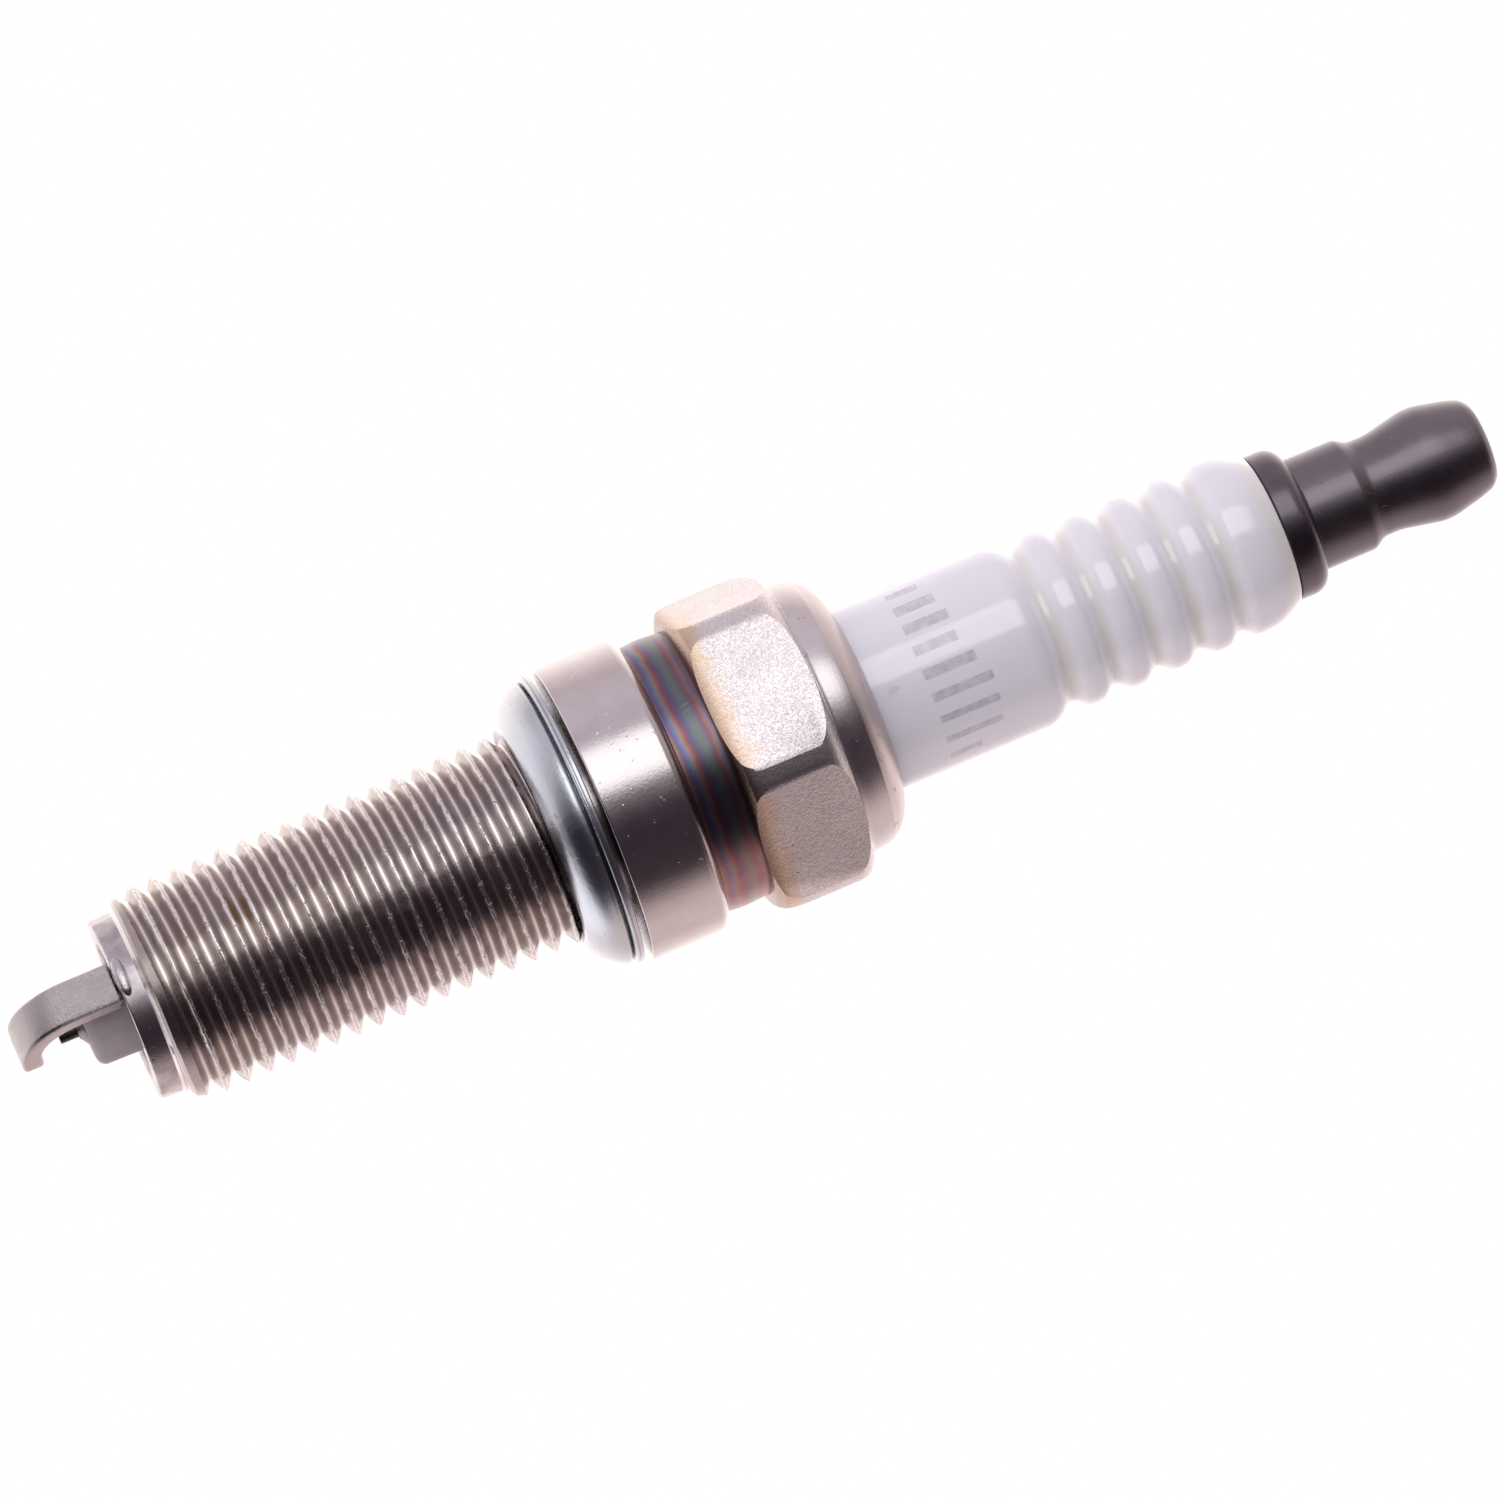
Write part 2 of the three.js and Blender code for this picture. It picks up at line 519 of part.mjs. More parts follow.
// One piece from the grooved tail in the glass, up the bore, to the head that the plug cap clips on.
function terminalStud() {
  const shank = HEAD_RADIUS;
  const tail = SHANK_Z - STUD_TAIL_LENGTH;
  const groovePitch = STUD_TAIL_LENGTH / (STUD_GROOVES + 1);
  const postTop = TERMINAL_Z + POST_HEIGHT;
  const neckZ = postTop + NECK_CHAMFER;
  const headZ = neckZ + NECK_HEIGHT;
  const end = TERMINAL_Z + TERMINAL_HEIGHT;
  const outline = new THREE.Path();
  outline.moveTo(0, tail);
  outline.lineTo(STUD_TAIL_RADIUS, tail);
  for (let i = 1; i <= STUD_GROOVES; i += 1) {
    const middle = tail + i * groovePitch;
    outline.lineTo(STUD_TAIL_RADIUS, middle - GROOVE_DEPTH);
    outline.lineTo(STUD_TAIL_RADIUS - GROOVE_DEPTH, middle);
    outline.lineTo(STUD_TAIL_RADIUS, middle + GROOVE_DEPTH);
  }
  outline.lineTo(STUD_TAIL_RADIUS, SHANK_Z);
  outline.lineTo(shank, SHANK_Z);
  outline.lineTo(shank, TERMINAL_Z);
  outline.lineTo(FLANGE_RADIUS - EDGE, TERMINAL_Z);
  outline.lineTo(FLANGE_RADIUS, TERMINAL_Z + EDGE);
  outline.lineTo(FLANGE_RADIUS, TERMINAL_Z + FLANGE_HEIGHT - FLANGE_ROUND);
  outline.quadraticCurveTo(FLANGE_RADIUS, TERMINAL_Z + FLANGE_HEIGHT,
    POST_RADIUS, TERMINAL_Z + FLANGE_HEIGHT);
  outline.lineTo(POST_RADIUS, postTop);
  outline.lineTo(NECK_RADIUS, neckZ);
  outline.lineTo(NECK_RADIUS, headZ);
  outline.lineTo(CLIP_HEAD_RADIUS, headZ + CLIP_HEAD_RISE);
  outline.lineTo(CLIP_HEAD_RADIUS, headZ + CLIP_HEAD_RISE + CLIP_HEAD_BAND);
  outline.lineTo(END_RADIUS, end - END_ROUND);
  outline.quadraticCurveTo(END_RADIUS, end, END_RADIUS - END_ROUND, end);
  outline.lineTo(0, end);
  return part('terminal_stud', turned(outline), 0x75706e, 1, 0.38);
}

// ---------------------------------------------------------------- packings inside the shell
function seatPacking() {
  const inner = THROAT_RADIUS + FIT;
  const outer = TRUNK_RADIUS;
  const low = FIT;
  const high = FIT + SEAT_PACKING;
  const body = ringOf([
    [inner, seatHeight(inner) + low],
    [outer, seatHeight(outer) + low],
    [outer, seatHeight(outer) + high],
    [inner, seatHeight(inner) + high],
  ]);
  return part('seat_packing', body, 0xa8a39a, 1, 0.5);
}

// A ring of round wire.
function packingRing(name, height) {
  const sides = 8;
  const points = [];
  for (let i = 0; i < sides; i += 1) {
    const angle = (2 * Math.PI * i) / sides;
    points.push([RING_SPACE_RADIUS + RING_RADIUS * Math.cos(angle), height + RING_RADIUS * Math.sin(angle)]);
  }
  return part(name, ringOf(points), 0x8a8784, 1, 0.5);
}

function talcPacking() {
  const inner = INSULATOR_RADIUS + FIT;
  const outer = BOSS_BORE - FIT;
  const body = ringOf([
    [inner, TALC_Z],
    [outer, TALC_Z],
    [outer, TALC_TOP_Z],
    [inner, TALC_TOP_Z],
  ]);
  return part('talc_packing', body, 0xd8d6cf, 0, 0.9);
}

// ---------------------------------------------------------------- the assembly
const sparkPlug = new THREE.Group();
sparkPlug.add(
  metalShell(),
  gasket(),
  groundElectrode(),
  insulator(),
  centerElectrode(),
  electrodeCore(),
  iridiumPin(),
  lowerGlassSeal(),
  resistor(),
  upperGlassSeal(),
  terminalStud(),
  seatPacking(),
  packingRing('lower_packing_ring', LOWER_RING_Z),
  talcPacking(),
  packingRing('upper_packing_ring', UPPER_RING_Z),
);

export default sparkPlug;
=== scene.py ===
# %% [markdown]
# # A spark plug
#
# The mechanical model comes first and is only read here: it is the fixed frame that every piece below is
# built round. This file gives the plug its fine shapes and its finishes: plated steel with a rolled thread,
# a folded zinc gasket, a heat-tinted waist, glazed white ceramic, a dark satin terminal and the two
# electrodes.

# %% Load the frame
import math

import bpy
from mathutils import Matrix, Vector


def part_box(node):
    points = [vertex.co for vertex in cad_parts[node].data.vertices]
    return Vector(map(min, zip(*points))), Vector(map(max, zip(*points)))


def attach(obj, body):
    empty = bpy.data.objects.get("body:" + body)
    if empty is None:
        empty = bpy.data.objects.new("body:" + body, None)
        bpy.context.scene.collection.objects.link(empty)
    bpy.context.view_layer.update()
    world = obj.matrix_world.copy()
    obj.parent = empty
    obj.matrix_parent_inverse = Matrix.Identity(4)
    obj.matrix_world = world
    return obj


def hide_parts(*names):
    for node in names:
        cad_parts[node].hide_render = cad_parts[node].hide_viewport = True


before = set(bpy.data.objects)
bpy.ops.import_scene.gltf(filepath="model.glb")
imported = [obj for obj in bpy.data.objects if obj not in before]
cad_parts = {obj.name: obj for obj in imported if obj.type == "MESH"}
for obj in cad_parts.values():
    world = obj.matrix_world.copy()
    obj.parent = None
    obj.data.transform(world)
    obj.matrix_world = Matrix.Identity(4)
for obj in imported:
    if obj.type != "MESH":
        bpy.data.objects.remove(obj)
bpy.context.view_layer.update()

# %% [markdown]
# Heights come from the frame, so that each fine piece meets its neighbours where the mechanical model says.
# Outlines below are in millimetres, as on a drawing, and MM turns them into Blender's metres. Height 0 is
# the sealing face of the collar, and +Z runs towards the terminal.

# %% Read the heights
MM = 0.001


def low_mm(name):
    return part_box(name)[0][2] / MM


def high_mm(name):
    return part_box(name)[1][2] / MM


RIM, LIP = low_mm("metal_shell"), high_mm("metal_shell")
GASKET, GASKET_TOP = low_mm("gasket"), high_mm("gasket")
NOSE, CERAMIC_TOP = low_mm("insulator"), high_mm("insulator")
STUD_TAIL, TERMINAL_END = low_mm("terminal_stud"), high_mm("terminal_stud")
ELECTRODE, ELECTRODE_TOP = low_mm("center_electrode"), high_mm("center_electrode")
PIN, PIN_TOP = low_mm("iridium_pin"), high_mm("iridium_pin")
STRAP, STRAP_FOOT = low_mm("ground_electrode"), high_mm("ground_electrode")
print(f"rim {RIM:.2f}, lip {LIP:.2f}, ceramic {NOSE:.2f} to {CERAMIC_TOP:.2f}, end {TERMINAL_END:.2f} mm")

# %% [markdown]
# A few sizes meet in more than one piece or finish, so they are named here once: the thread's root and
# crest, the top of the collar, the hexagon's two ends, the ceramic, and the centre electrode with its head.
# FIT is the gap between faces that are cemented or fused.

# %% Shared sizes
ROOT_RADIUS, CREST_RADIUS = 5.2, 5.92
COLLAR_TOP = 4.6
HEX_LOW, HEX_HIGH = 7.1, 12.9
CERAMIC_RADIUS = 5.15
ELECTRODE_RADIUS, HEAD_RADIUS = 1.0, 1.5
HEAD_LOW = -10.2
FIT = 0.03
print(f"thread {2 * CREST_RADIUS} mm, hexagon {HEX_HIGH - HEX_LOW:.1f} mm, ceramic {2 * CERAMIC_RADIUS} mm")

# %% [markdown]
# The camera looks from a little below the plug, with the terminal leaning away, and it is rolled so that
# the plug runs from the lower left to the upper right. Its place is worked out from the plug's axis: the
# direction that the plug is seen from, how far off the camera stands and how the axis lies in the picture.

# %% Place the camera
AZIMUTH = math.radians(18.4)
LOOK_UP = math.radians(6.1)
ROLL = math.radians(22.77)
DISTANCE = 0.568
AIM_HEIGHT = 9.11 * MM
AIM_SIDE = 0.1 * MM
LENS = 259.2
SENSOR = 36

away = Vector((-math.cos(LOOK_UP) * math.sin(AZIMUTH),
               math.cos(LOOK_UP) * math.cos(AZIMUTH),
               math.sin(LOOK_UP)))
across = Vector((math.cos(AZIMUTH), math.sin(AZIMUTH), 0))
along = across.cross(away)
right = math.cos(ROLL) * along + math.sin(ROLL) * across
up = math.sin(ROLL) * along - math.cos(ROLL) * across
aim = Vector((0, 0, AIM_HEIGHT)) + across * AIM_SIDE

camera_data = bpy.data.cameras.new("camera")
camera_data.lens = LENS
camera_data.sensor_width = SENSOR
camera_data.clip_start = 0.01
camera_data.clip_end = 20
camera = bpy.data.objects.new("camera", camera_data)
bpy.context.scene.collection.objects.link(camera)
turned = Matrix((right, up, -away)).transposed().to_4x4()
camera.matrix_world = Matrix.Translation(aim - away * DISTANCE) @ turned
bpy.context.scene.camera = camera
print("camera at", [round(value, 3) for value in camera.matrix_world.translation])

# %% [markdown]
# ## Helpers for turned pieces
#
# Nearly everything on a plug is turned or rolled, so one way of working covers it. Half of the section is
# drawn as a chain of edges, by extruding one vertex from corner to corner. Corners that the real piece has
# rounded are then bevelled, and the outline is spun about the axis. A screw modifier or a boolean adds what
# isn't round.

# %% Turning helpers
SPIN_STEPS = 160
SAME_PLACE = 1e-7  # metres; corners nearer than this are one corner


def start_clean():
    """Leaves edit mode and selects nothing, because operators act on all that is selected."""
    if bpy.context.object and bpy.context.object.mode != "OBJECT":
        bpy.ops.object.mode_set(mode="OBJECT")
    bpy.ops.object.select_all(action="DESELECT")


def pick(kind, test):
    """Goes to edit mode and selects exactly the vertices, edges or faces that pass the test."""
    bpy.ops.object.mode_set(mode="EDIT")
    bpy.ops.mesh.select_mode(type=kind)
    bpy.ops.mesh.select_all(action="DESELECT")
    bpy.ops.object.mode_set(mode="OBJECT")
    mesh = bpy.context.object.data
    for element in {"VERT": mesh.vertices, "EDGE": mesh.edges, "FACE": mesh.polygons}[kind]:
        element.select = test(element)
    bpy.ops.object.mode_set(mode="EDIT")


def draw_outline(name, corners, segments=5):
    """Draws a chain of edges through (radius, height) corners, and rounds those with a third value."""
    start_clean()
    points = [Vector((corner[0] * MM, 0, corner[1] * MM)) for corner in corners]
    bpy.ops.mesh.primitive_plane_add(size=MM, location=(0, 0, 0))
    piece = bpy.context.object
    piece.name = piece.data.name = name
    bpy.ops.object.mode_set(mode="EDIT")
    bpy.ops.mesh.select_mode(type="VERT")
    bpy.ops.mesh.merge(type="CENTER")
    bpy.ops.transform.translate(value=points[0])
    for before, after in zip(points, points[1:]):
        bpy.ops.mesh.extrude_region_move(TRANSFORM_OT_translate={"value": after - before})
    for corner, point in zip(corners, points):
        if len(corner) == 3:
            pick("VERT", lambda vertex: (vertex.co - point).length < SAME_PLACE)
            bpy.ops.mesh.bevel(offset=corner[2] * MM, segments=segments, affect="VERTICES")
    return piece


def close_and_face_out():
    """In edit mode, merges what meets, turns the faces outwards and goes back to object mode."""
    bpy.ops.mesh.select_all(action="SELECT")
    bpy.ops.mesh.remove_doubles(threshold=SAME_PLACE)
    bpy.ops.mesh.normals_make_consistent(inside=False)
    bpy.ops.object.mode_set(mode="OBJECT")


def swing(angle):
    """In edit mode, turns the whole mesh about the plug's axis."""
    bpy.ops.mesh.select_all(action="SELECT")
    bpy.ops.transform.rotate(value=angle, orient_axis="Z", center_override=(0, 0, 0))


def turn(name, corners, segments=5):
    """A turned piece from its outline, which starts and ends on the axis, or ends where it began."""
    piece = draw_outline(name, corners, segments)
    bpy.ops.mesh.select_all(action="SELECT")
    bpy.ops.mesh.spin(steps=SPIN_STEPS, angle=2 * math.pi, center=(0, 0, 0), axis=(0, 0, 1))
    close_and_face_out()
    return piece


def apply_modifier(piece, kind, **settings):
    """Adds a modifier with these settings and applies it."""
    start_clean()
    bpy.context.view_layer.objects.active = piece
    modifier = piece.modifiers.new(kind.lower(), kind)
    for name, value in settings.items():
        setattr(modifier, name, value)
    bpy.ops.object.modifier_apply(modifier=modifier.name)


def combine(piece, tool, operation):
    """Joins, cuts or trims the piece with a tool, which is then thrown away."""
    apply_modifier(piece, "BOOLEAN", operation=operation, object=tool, solver="MANIFOLD")
    bpy.data.objects.remove(tool)
    assert len(piece.data.polygons), f"{piece.name} is empty after {operation}"


def finish_piece(piece, body, slot, materials, *nodes, zone_tops=(), smooth=30):
    """Shades the piece, gives it its finish, and says what it rides on and stands for.

    A piece with several finishes has one for each zone, and zone_tops are the heights where the zones end."""
    start_clean()
    piece.select_set(True)
    bpy.context.view_layer.objects.active = piece
    bpy.ops.object.shade_smooth_by_angle(angle=math.radians(smooth))
    piece.data.materials.clear()
    for material in materials:
        piece.data.materials.append(material)
    for face in piece.data.polygons:
        face.material_index = sum(face.center.z > top * MM for top in zone_tops)
    if nodes:
        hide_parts(*nodes)
    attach(piece, body)
    piece.data.calc_loop_triangles()
    print(f"{piece.name}: {len(piece.data.loop_triangles)} triangles")

# %% [markdown]
# ## Helpers for finishes
#
# A finish is a small network of nodes. These helpers keep each network short: one adds a node with its
# values and links at once, and the others add the few kinds that are used again and again. Patterns read
# Object coordinates, which are metres here, so they are turned into millimetres first.

# %% Node helpers
def add_node(tree, kind, inputs=None, **settings):
    """Adds a node; an input is given by name or number, as a value or as another node's output."""
    made = tree.nodes.new(kind)
    for name, value in settings.items():
        setattr(made, name, value)
    for socket, value in (inputs or {}).items():
        if isinstance(value, bpy.types.NodeSocket):
            tree.links.new(value, made.inputs[socket])
        else:
            made.inputs[socket].default_value = value
    return made


def calculate(tree, operation, *values):
    """A Math node's output."""
    return add_node(tree, "ShaderNodeMath", dict(enumerate(values)), operation=operation).outputs[0]


def between(tree, value, low, high, to_low=0.0, to_high=1.0):
    """Eases a value from one range to another, and holds it at the ends."""
    made = add_node(tree, "ShaderNodeMapRange", {
        "Value": value, "From Min": low, "From Max": high, "To Min": to_low, "To Max": to_high},
        interpolation_type="SMOOTHSTEP")
    return made.outputs["Result"]


def blend(tree, share, first, second):
    """Mixes two colours; on a Mix node the colours are inputs 6 and 7, and the result is output 2."""
    made = add_node(tree, "ShaderNodeMix", data_type="RGBA")
    for socket, value in zip((made.inputs[0], made.inputs[6], made.inputs[7]), (share, first, second)):
        if isinstance(value, bpy.types.NodeSocket):
            tree.links.new(value, socket)
        else:
            socket.default_value = (*value, 1) if isinstance(value, tuple) else value
    return made.outputs[2]


def lay_over(tree, base, mask, strength, color):
    """Lays a colour over a base where the mask is, at this strength."""
    return blend(tree, calculate(tree, "MULTIPLY", mask, strength), base, color)


def color_steps(tree, factor, stops, lowest, highest):
    """A colour ramp whose stops are given in the factor's own range."""
    share = add_node(tree, "ShaderNodeMapRange", {"Value": factor, "From Min": lowest, "From Max": highest})
    made = add_node(tree, "ShaderNodeValToRGB", {0: share.outputs[0]})
    elements = made.color_ramp.elements
    elements.remove(elements[1])
    for number, (place, color) in enumerate(stops):
        position = (place - lowest) / (highest - lowest)
        element = elements[0] if number == 0 else elements.new(position)
        element.position = position
        element.color = (*color, 1)
    return made.outputs[0]


# %% [markdown]
# Effects that several finishes share are node groups. Each is built once and gets its own values in every
# material: where a point lies on the plug, cloudy patches, the fine lines left by a lathe, small dents,
# hairline scratches and the grain of a blasted surface.

# %% Shared effects
def start_group(name, inputs, outputs):
    """An empty group with number inputs of (name, value) and number outputs."""
    group = bpy.data.node_groups.new(name, "ShaderNodeTree")
    for title, value in inputs:
        group.interface.new_socket(title, in_out="INPUT", socket_type="NodeSocketFloat").default_value = value
    for title in outputs:
        group.interface.new_socket(title, in_out="OUTPUT", socket_type="NodeSocketFloat")
    entry, leave = group.nodes.new("NodeGroupInput"), group.nodes.new("NodeGroupOutput")
    return group, entry.outputs, leave.inputs


def millimetres(tree, stretch=(1, 1, 1)):
    """The point's place in millimetres, with each axis stretched or squeezed."""
    place = tree.nodes.new("ShaderNodeTexCoord").outputs["Object"]
    factors = tuple(value / MM for value in stretch)
    return add_node(tree, "ShaderNodeVectorMath", {0: place, 1: factors}, operation="MULTIPLY").outputs[0]


place_group, _, out = start_group("place_on_plug", [], ["Radius", "Angle", "Height"])
x, y, z = add_node(place_group, "ShaderNodeSeparateXYZ", {0: millimetres(place_group)}).outputs
squares = calculate(place_group, "ADD", calculate(place_group, "MULTIPLY", x, x),
                    calculate(place_group, "MULTIPLY", y, y))
angle = calculate(place_group, "DEGREES", calculate(place_group, "ARCTAN2", y, x))
place_group.links.new(calculate(place_group, "SQRT", squares), out["Radius"])
place_group.links.new(angle, out["Angle"])
place_group.links.new(z, out["Height"])

patch_group, given, out = start_group(
    "cloudy_patches", [("Size", 1), ("Seed", 0), ("Softness", 0.15)], ["Mask"])
cloud = add_node(patch_group, "ShaderNodeTexNoise", {
    "Vector": millimetres(patch_group), "W": given["Seed"], "Detail": 5, "Roughness": 0.6,
    "Scale": calculate(patch_group, "DIVIDE", 1, given["Size"])}, noise_dimensions="4D").outputs[0]
low = calculate(patch_group, "SUBTRACT", 0.5, given["Softness"])
high = calculate(patch_group, "ADD", 0.5, given["Softness"])
patch_group.links.new(between(patch_group, cloud, low, high), out["Mask"])

lathe_group, given, out = start_group("lathe_lines", [("Size", 0.1)], ["Height"])
lines = add_node(lathe_group, "ShaderNodeTexNoise", {
    "Vector": millimetres(lathe_group, (0.03, 0.03, 1)), "Detail": 3, "Roughness": 0.7,
    "Scale": calculate(lathe_group, "DIVIDE", 1, given["Size"])}).outputs[0]
lathe_group.links.new(lines, out["Height"])



def chosen_cells(tree, place, given, full, gone):
    """Keeps a share of Voronoi cells; each fades out between two distances from its middle."""
    cells = add_node(tree, "ShaderNodeTexVoronoi", {
        "Vector": place, "Scale": calculate(tree, "DIVIDE", 1, given["Size"])})
    number = add_node(tree, "ShaderNodeSeparateColor", {0: cells.outputs["Color"]}).outputs[0]
    return calculate(tree, "MULTIPLY", calculate(tree, "LESS_THAN", number, given["Share"]),
                     between(tree, cells.outputs["Distance"], full, gone, 1, 0))


dent_group, given, out = start_group("small_dents", [("Size", 0.5), ("Share", 0.3)], ["Mask"])
wander = add_node(dent_group, "ShaderNodeTexNoise", {"Vector": millimetres(dent_group), "Scale": 3})
wandering = add_node(dent_group, "ShaderNodeVectorMath", {0: millimetres(dent_group), 1: wander.outputs[1]},
                     operation="ADD").outputs[0]
dent_group.links.new(chosen_cells(dent_group, wandering, given, 0.1, 0.36), out["Mask"])

scratch_group, given, out = start_group(
    "hairlines", [("Size", 0.4), ("Share", 0.5), ("Lean", 0.6)], ["Mask"])
leaning = add_node(scratch_group, "ShaderNodeVectorRotate", {
    "Vector": millimetres(scratch_group), "Angle": given["Lean"], "Axis": (0.4, 0.5, 0.2)}).outputs[0]
stretched = add_node(scratch_group, "ShaderNodeVectorMath", {0: leaning, 1: (1, 1, 0.09)},
                     operation="MULTIPLY").outputs[0]
scratch_group.links.new(chosen_cells(scratch_group, stretched, given, 0.05, 0.13), out["Mask"])

grain_group, given, out = start_group("blasted_grain", [("Size", 0.1)], ["Height", "Mask"])
scale = calculate(grain_group, "DIVIDE", 1, given["Size"])
fine = add_node(grain_group, "ShaderNodeTexNoise", {
    "Vector": millimetres(grain_group), "Detail": 3, "Roughness": 0.7, "Scale": scale}).outputs[0]
craters = add_node(grain_group, "ShaderNodeTexVoronoi", {
    "Vector": millimetres(grain_group), "Scale": calculate(grain_group, "MULTIPLY", scale, 0.6)},
    feature="SMOOTH_F1").outputs["Distance"]
grain_group.links.new(calculate(grain_group, "ADD", fine, calculate(grain_group, "MULTIPLY", craters, 0.5)),
                      out["Height"])
grain_group.links.new(between(grain_group, fine, 0.35, 0.65), out["Mask"])
print("shared effects:", [group.name for group in bpy.data.node_groups])


# %% Start and end a material
def effect(tree, group, **values):
    """Places a shared effect in a material and gives it its values."""
    made = tree.nodes.new("ShaderNodeGroup")
    made.node_tree = group
    for title, value in values.items():
        made.inputs[title].default_value = value
    return made.outputs


def cloudy(tree, size, seed, softness):
    """The mask of the cloudy patches; the seed gives each finish patches of its own."""
    return effect(tree, patch_group, Size=size, Seed=seed, Softness=softness)["Mask"]


def relief(tree, group, size):
    """The height of the lathe lines or the grain, at this size."""
    return effect(tree, group, Size=size)["Height"]


def start_material(name, **fixed):
    """A material and its node tree; fixed values go on the shader's own sockets."""
    material = bpy.data.materials.new(name)
    material.use_nodes = True
    shader = material.node_tree.nodes["Principled BSDF"]
    for title, value in fixed.items():
        shader.inputs[title.replace("_", " ")].default_value = value
    return material, material.node_tree, shader


def set_surface(tree, shader, color, roughness, height=None, depth=0.01):
    """Links a finish to its shader; depth is the bump's depth in millimetres."""
    tree.links.new(color, shader.inputs["Base Color"])
    tree.links.new(roughness, shader.inputs["Roughness"])
    if height is not None:
        bump = add_node(tree, "ShaderNodeBump", {"Height": height, "Strength": 1, "Distance": depth * MM})
        tree.links.new(bump.outputs[0], shader.inputs["Normal"])


def add_up(tree, *parts):
    """Adds up (output, weight) pairs."""
    total = 0.0
    for output, weight in parts:
        total = calculate(tree, "MULTIPLY_ADD", output, weight, total)
    return total


# %% [markdown]
# ## Plated steel
#
# The whole shell is nickel plated, but each zone looks different. The plain end is matt and blotched, the
# thread has nicked crests over brownish flanks, with crests and roots painted lighter as a painted
# highlight, and the collar is smooth with a few hairlines. Each zone gets its own material, mixed from the
# same effects.

# %% Plain end, thread and collar
plain_end_steel, tree, shader = start_material("plain_end_steel", Metallic=1)
patches = cloudy(tree, 0.9, seed=1, softness=0.2)
specks = effect(tree, dent_group, Size=0.35, Share=0.16)["Mask"]
color = blend(tree, patches, (0.385, 0.347, 0.354), (0.554, 0.516, 0.524))
color = blend(tree, specks, color, (0.231, 0.193, 0.193))
rough = add_up(tree, (patches, -0.06), (specks, 0.15), (1.0, 0.31))
set_surface(tree, shader, color, rough,
            add_up(tree, (relief(tree, grain_group, 0.12), 0.5), (specks, -0.6)), 0.012)

STAIN_SQUEEZE = 2.4
STAIN_MIDDLE = (-0.9, -5.5, -46.7)  # with the height squeezed in the same way

thread_steel, tree, shader = start_material("thread_steel", Metallic=1)
place = effect(tree, place_group)
crest = between(tree, place["Radius"], CREST_RADIUS - 0.2, CREST_RADIUS - 0.08)
root = between(tree, place["Radius"], ROOT_RADIUS + 0.1, ROOT_RADIUS + 0.02)
patches = cloudy(tree, 1.6, seed=2, softness=0.18)
tint = cloudy(tree, 5, seed=3, softness=0.1)
nicks = effect(tree, dent_group, Size=0.24, Share=0.5)["Mask"]
flank = blend(tree, patches, (0.38, 0.328, 0.324), (0.472, 0.42, 0.412))
flank = lay_over(tree, flank, tint, 0.35, (0.448, 0.376, 0.296))
squeezed = millimetres(tree, (1, 1, STAIN_SQUEEZE))
stain_distance = add_node(tree, "ShaderNodeVectorMath", {0: squeezed, 1: STAIN_MIDDLE}, operation="DISTANCE")
stain = between(tree, stain_distance.outputs["Value"], 0.5, 1.3, 0.85, 0)
flank = blend(tree, stain, flank, (0.288, 0.192, 0.08))
# Crests and roots are painted a lighter colour than the flanks: painted highlight lines along the thread.
color = blend(tree, calculate(tree, "MAXIMUM", crest, calculate(tree, "MULTIPLY", root, 0.85)), flank,
              (0.688, 0.64, 0.624))
crest_nicks = calculate(tree, "MULTIPLY", nicks, crest)
color = lay_over(tree, color, crest_nicks, 0.55, (0.256, 0.216, 0.208))
rough = add_up(tree, (patches, 0.08), (root, -0.08), (crest_nicks, 0.15), (1.0, 0.22))
set_surface(tree, shader, color, rough, add_up(
    tree, (relief(tree, grain_group, 0.1), 0.25), (crest_nicks, -2.2),
    (relief(tree, lathe_group, 0.05), 0.2)), 0.02)

collar_steel, tree, shader = start_material("collar_steel", Metallic=1)
patches = cloudy(tree, 1.1, seed=4, softness=0.25)
hairs = effect(tree, scratch_group, Size=0.45, Share=0.5, Lean=0.9)["Mask"]
dents = effect(tree, dent_group, Size=0.4, Share=0.03)["Mask"]
color = blend(tree, patches, (0.554, 0.504, 0.501), (0.601, 0.554, 0.547))
color = lay_over(tree, color, hairs, 0.25, (0.693, 0.662, 0.654))
rough = add_up(tree, (patches, 0.05), (hairs, 0.14), (dents, 0.1), (1.0, 0.15))
set_surface(tree, shader, color, rough, add_up(
    tree, (relief(tree, grain_group, 0.1), 0.3), (hairs, -0.5), (dents, -0.5),
    (relief(tree, lathe_group, 0.08), 0.15)), 0.016)
print("made", plain_end_steel.name, thread_steel.name, collar_steel.name)

# %% [markdown]
# The waist was red hot when the shell was crimped. The oxide it grew is thin enough to show interference
# colours, in bands that follow the temperature: straw at the cool ends, then purple and blue, and
# green-grey in the middle. The colours are a ramp over the height, which a little noise pushes about.

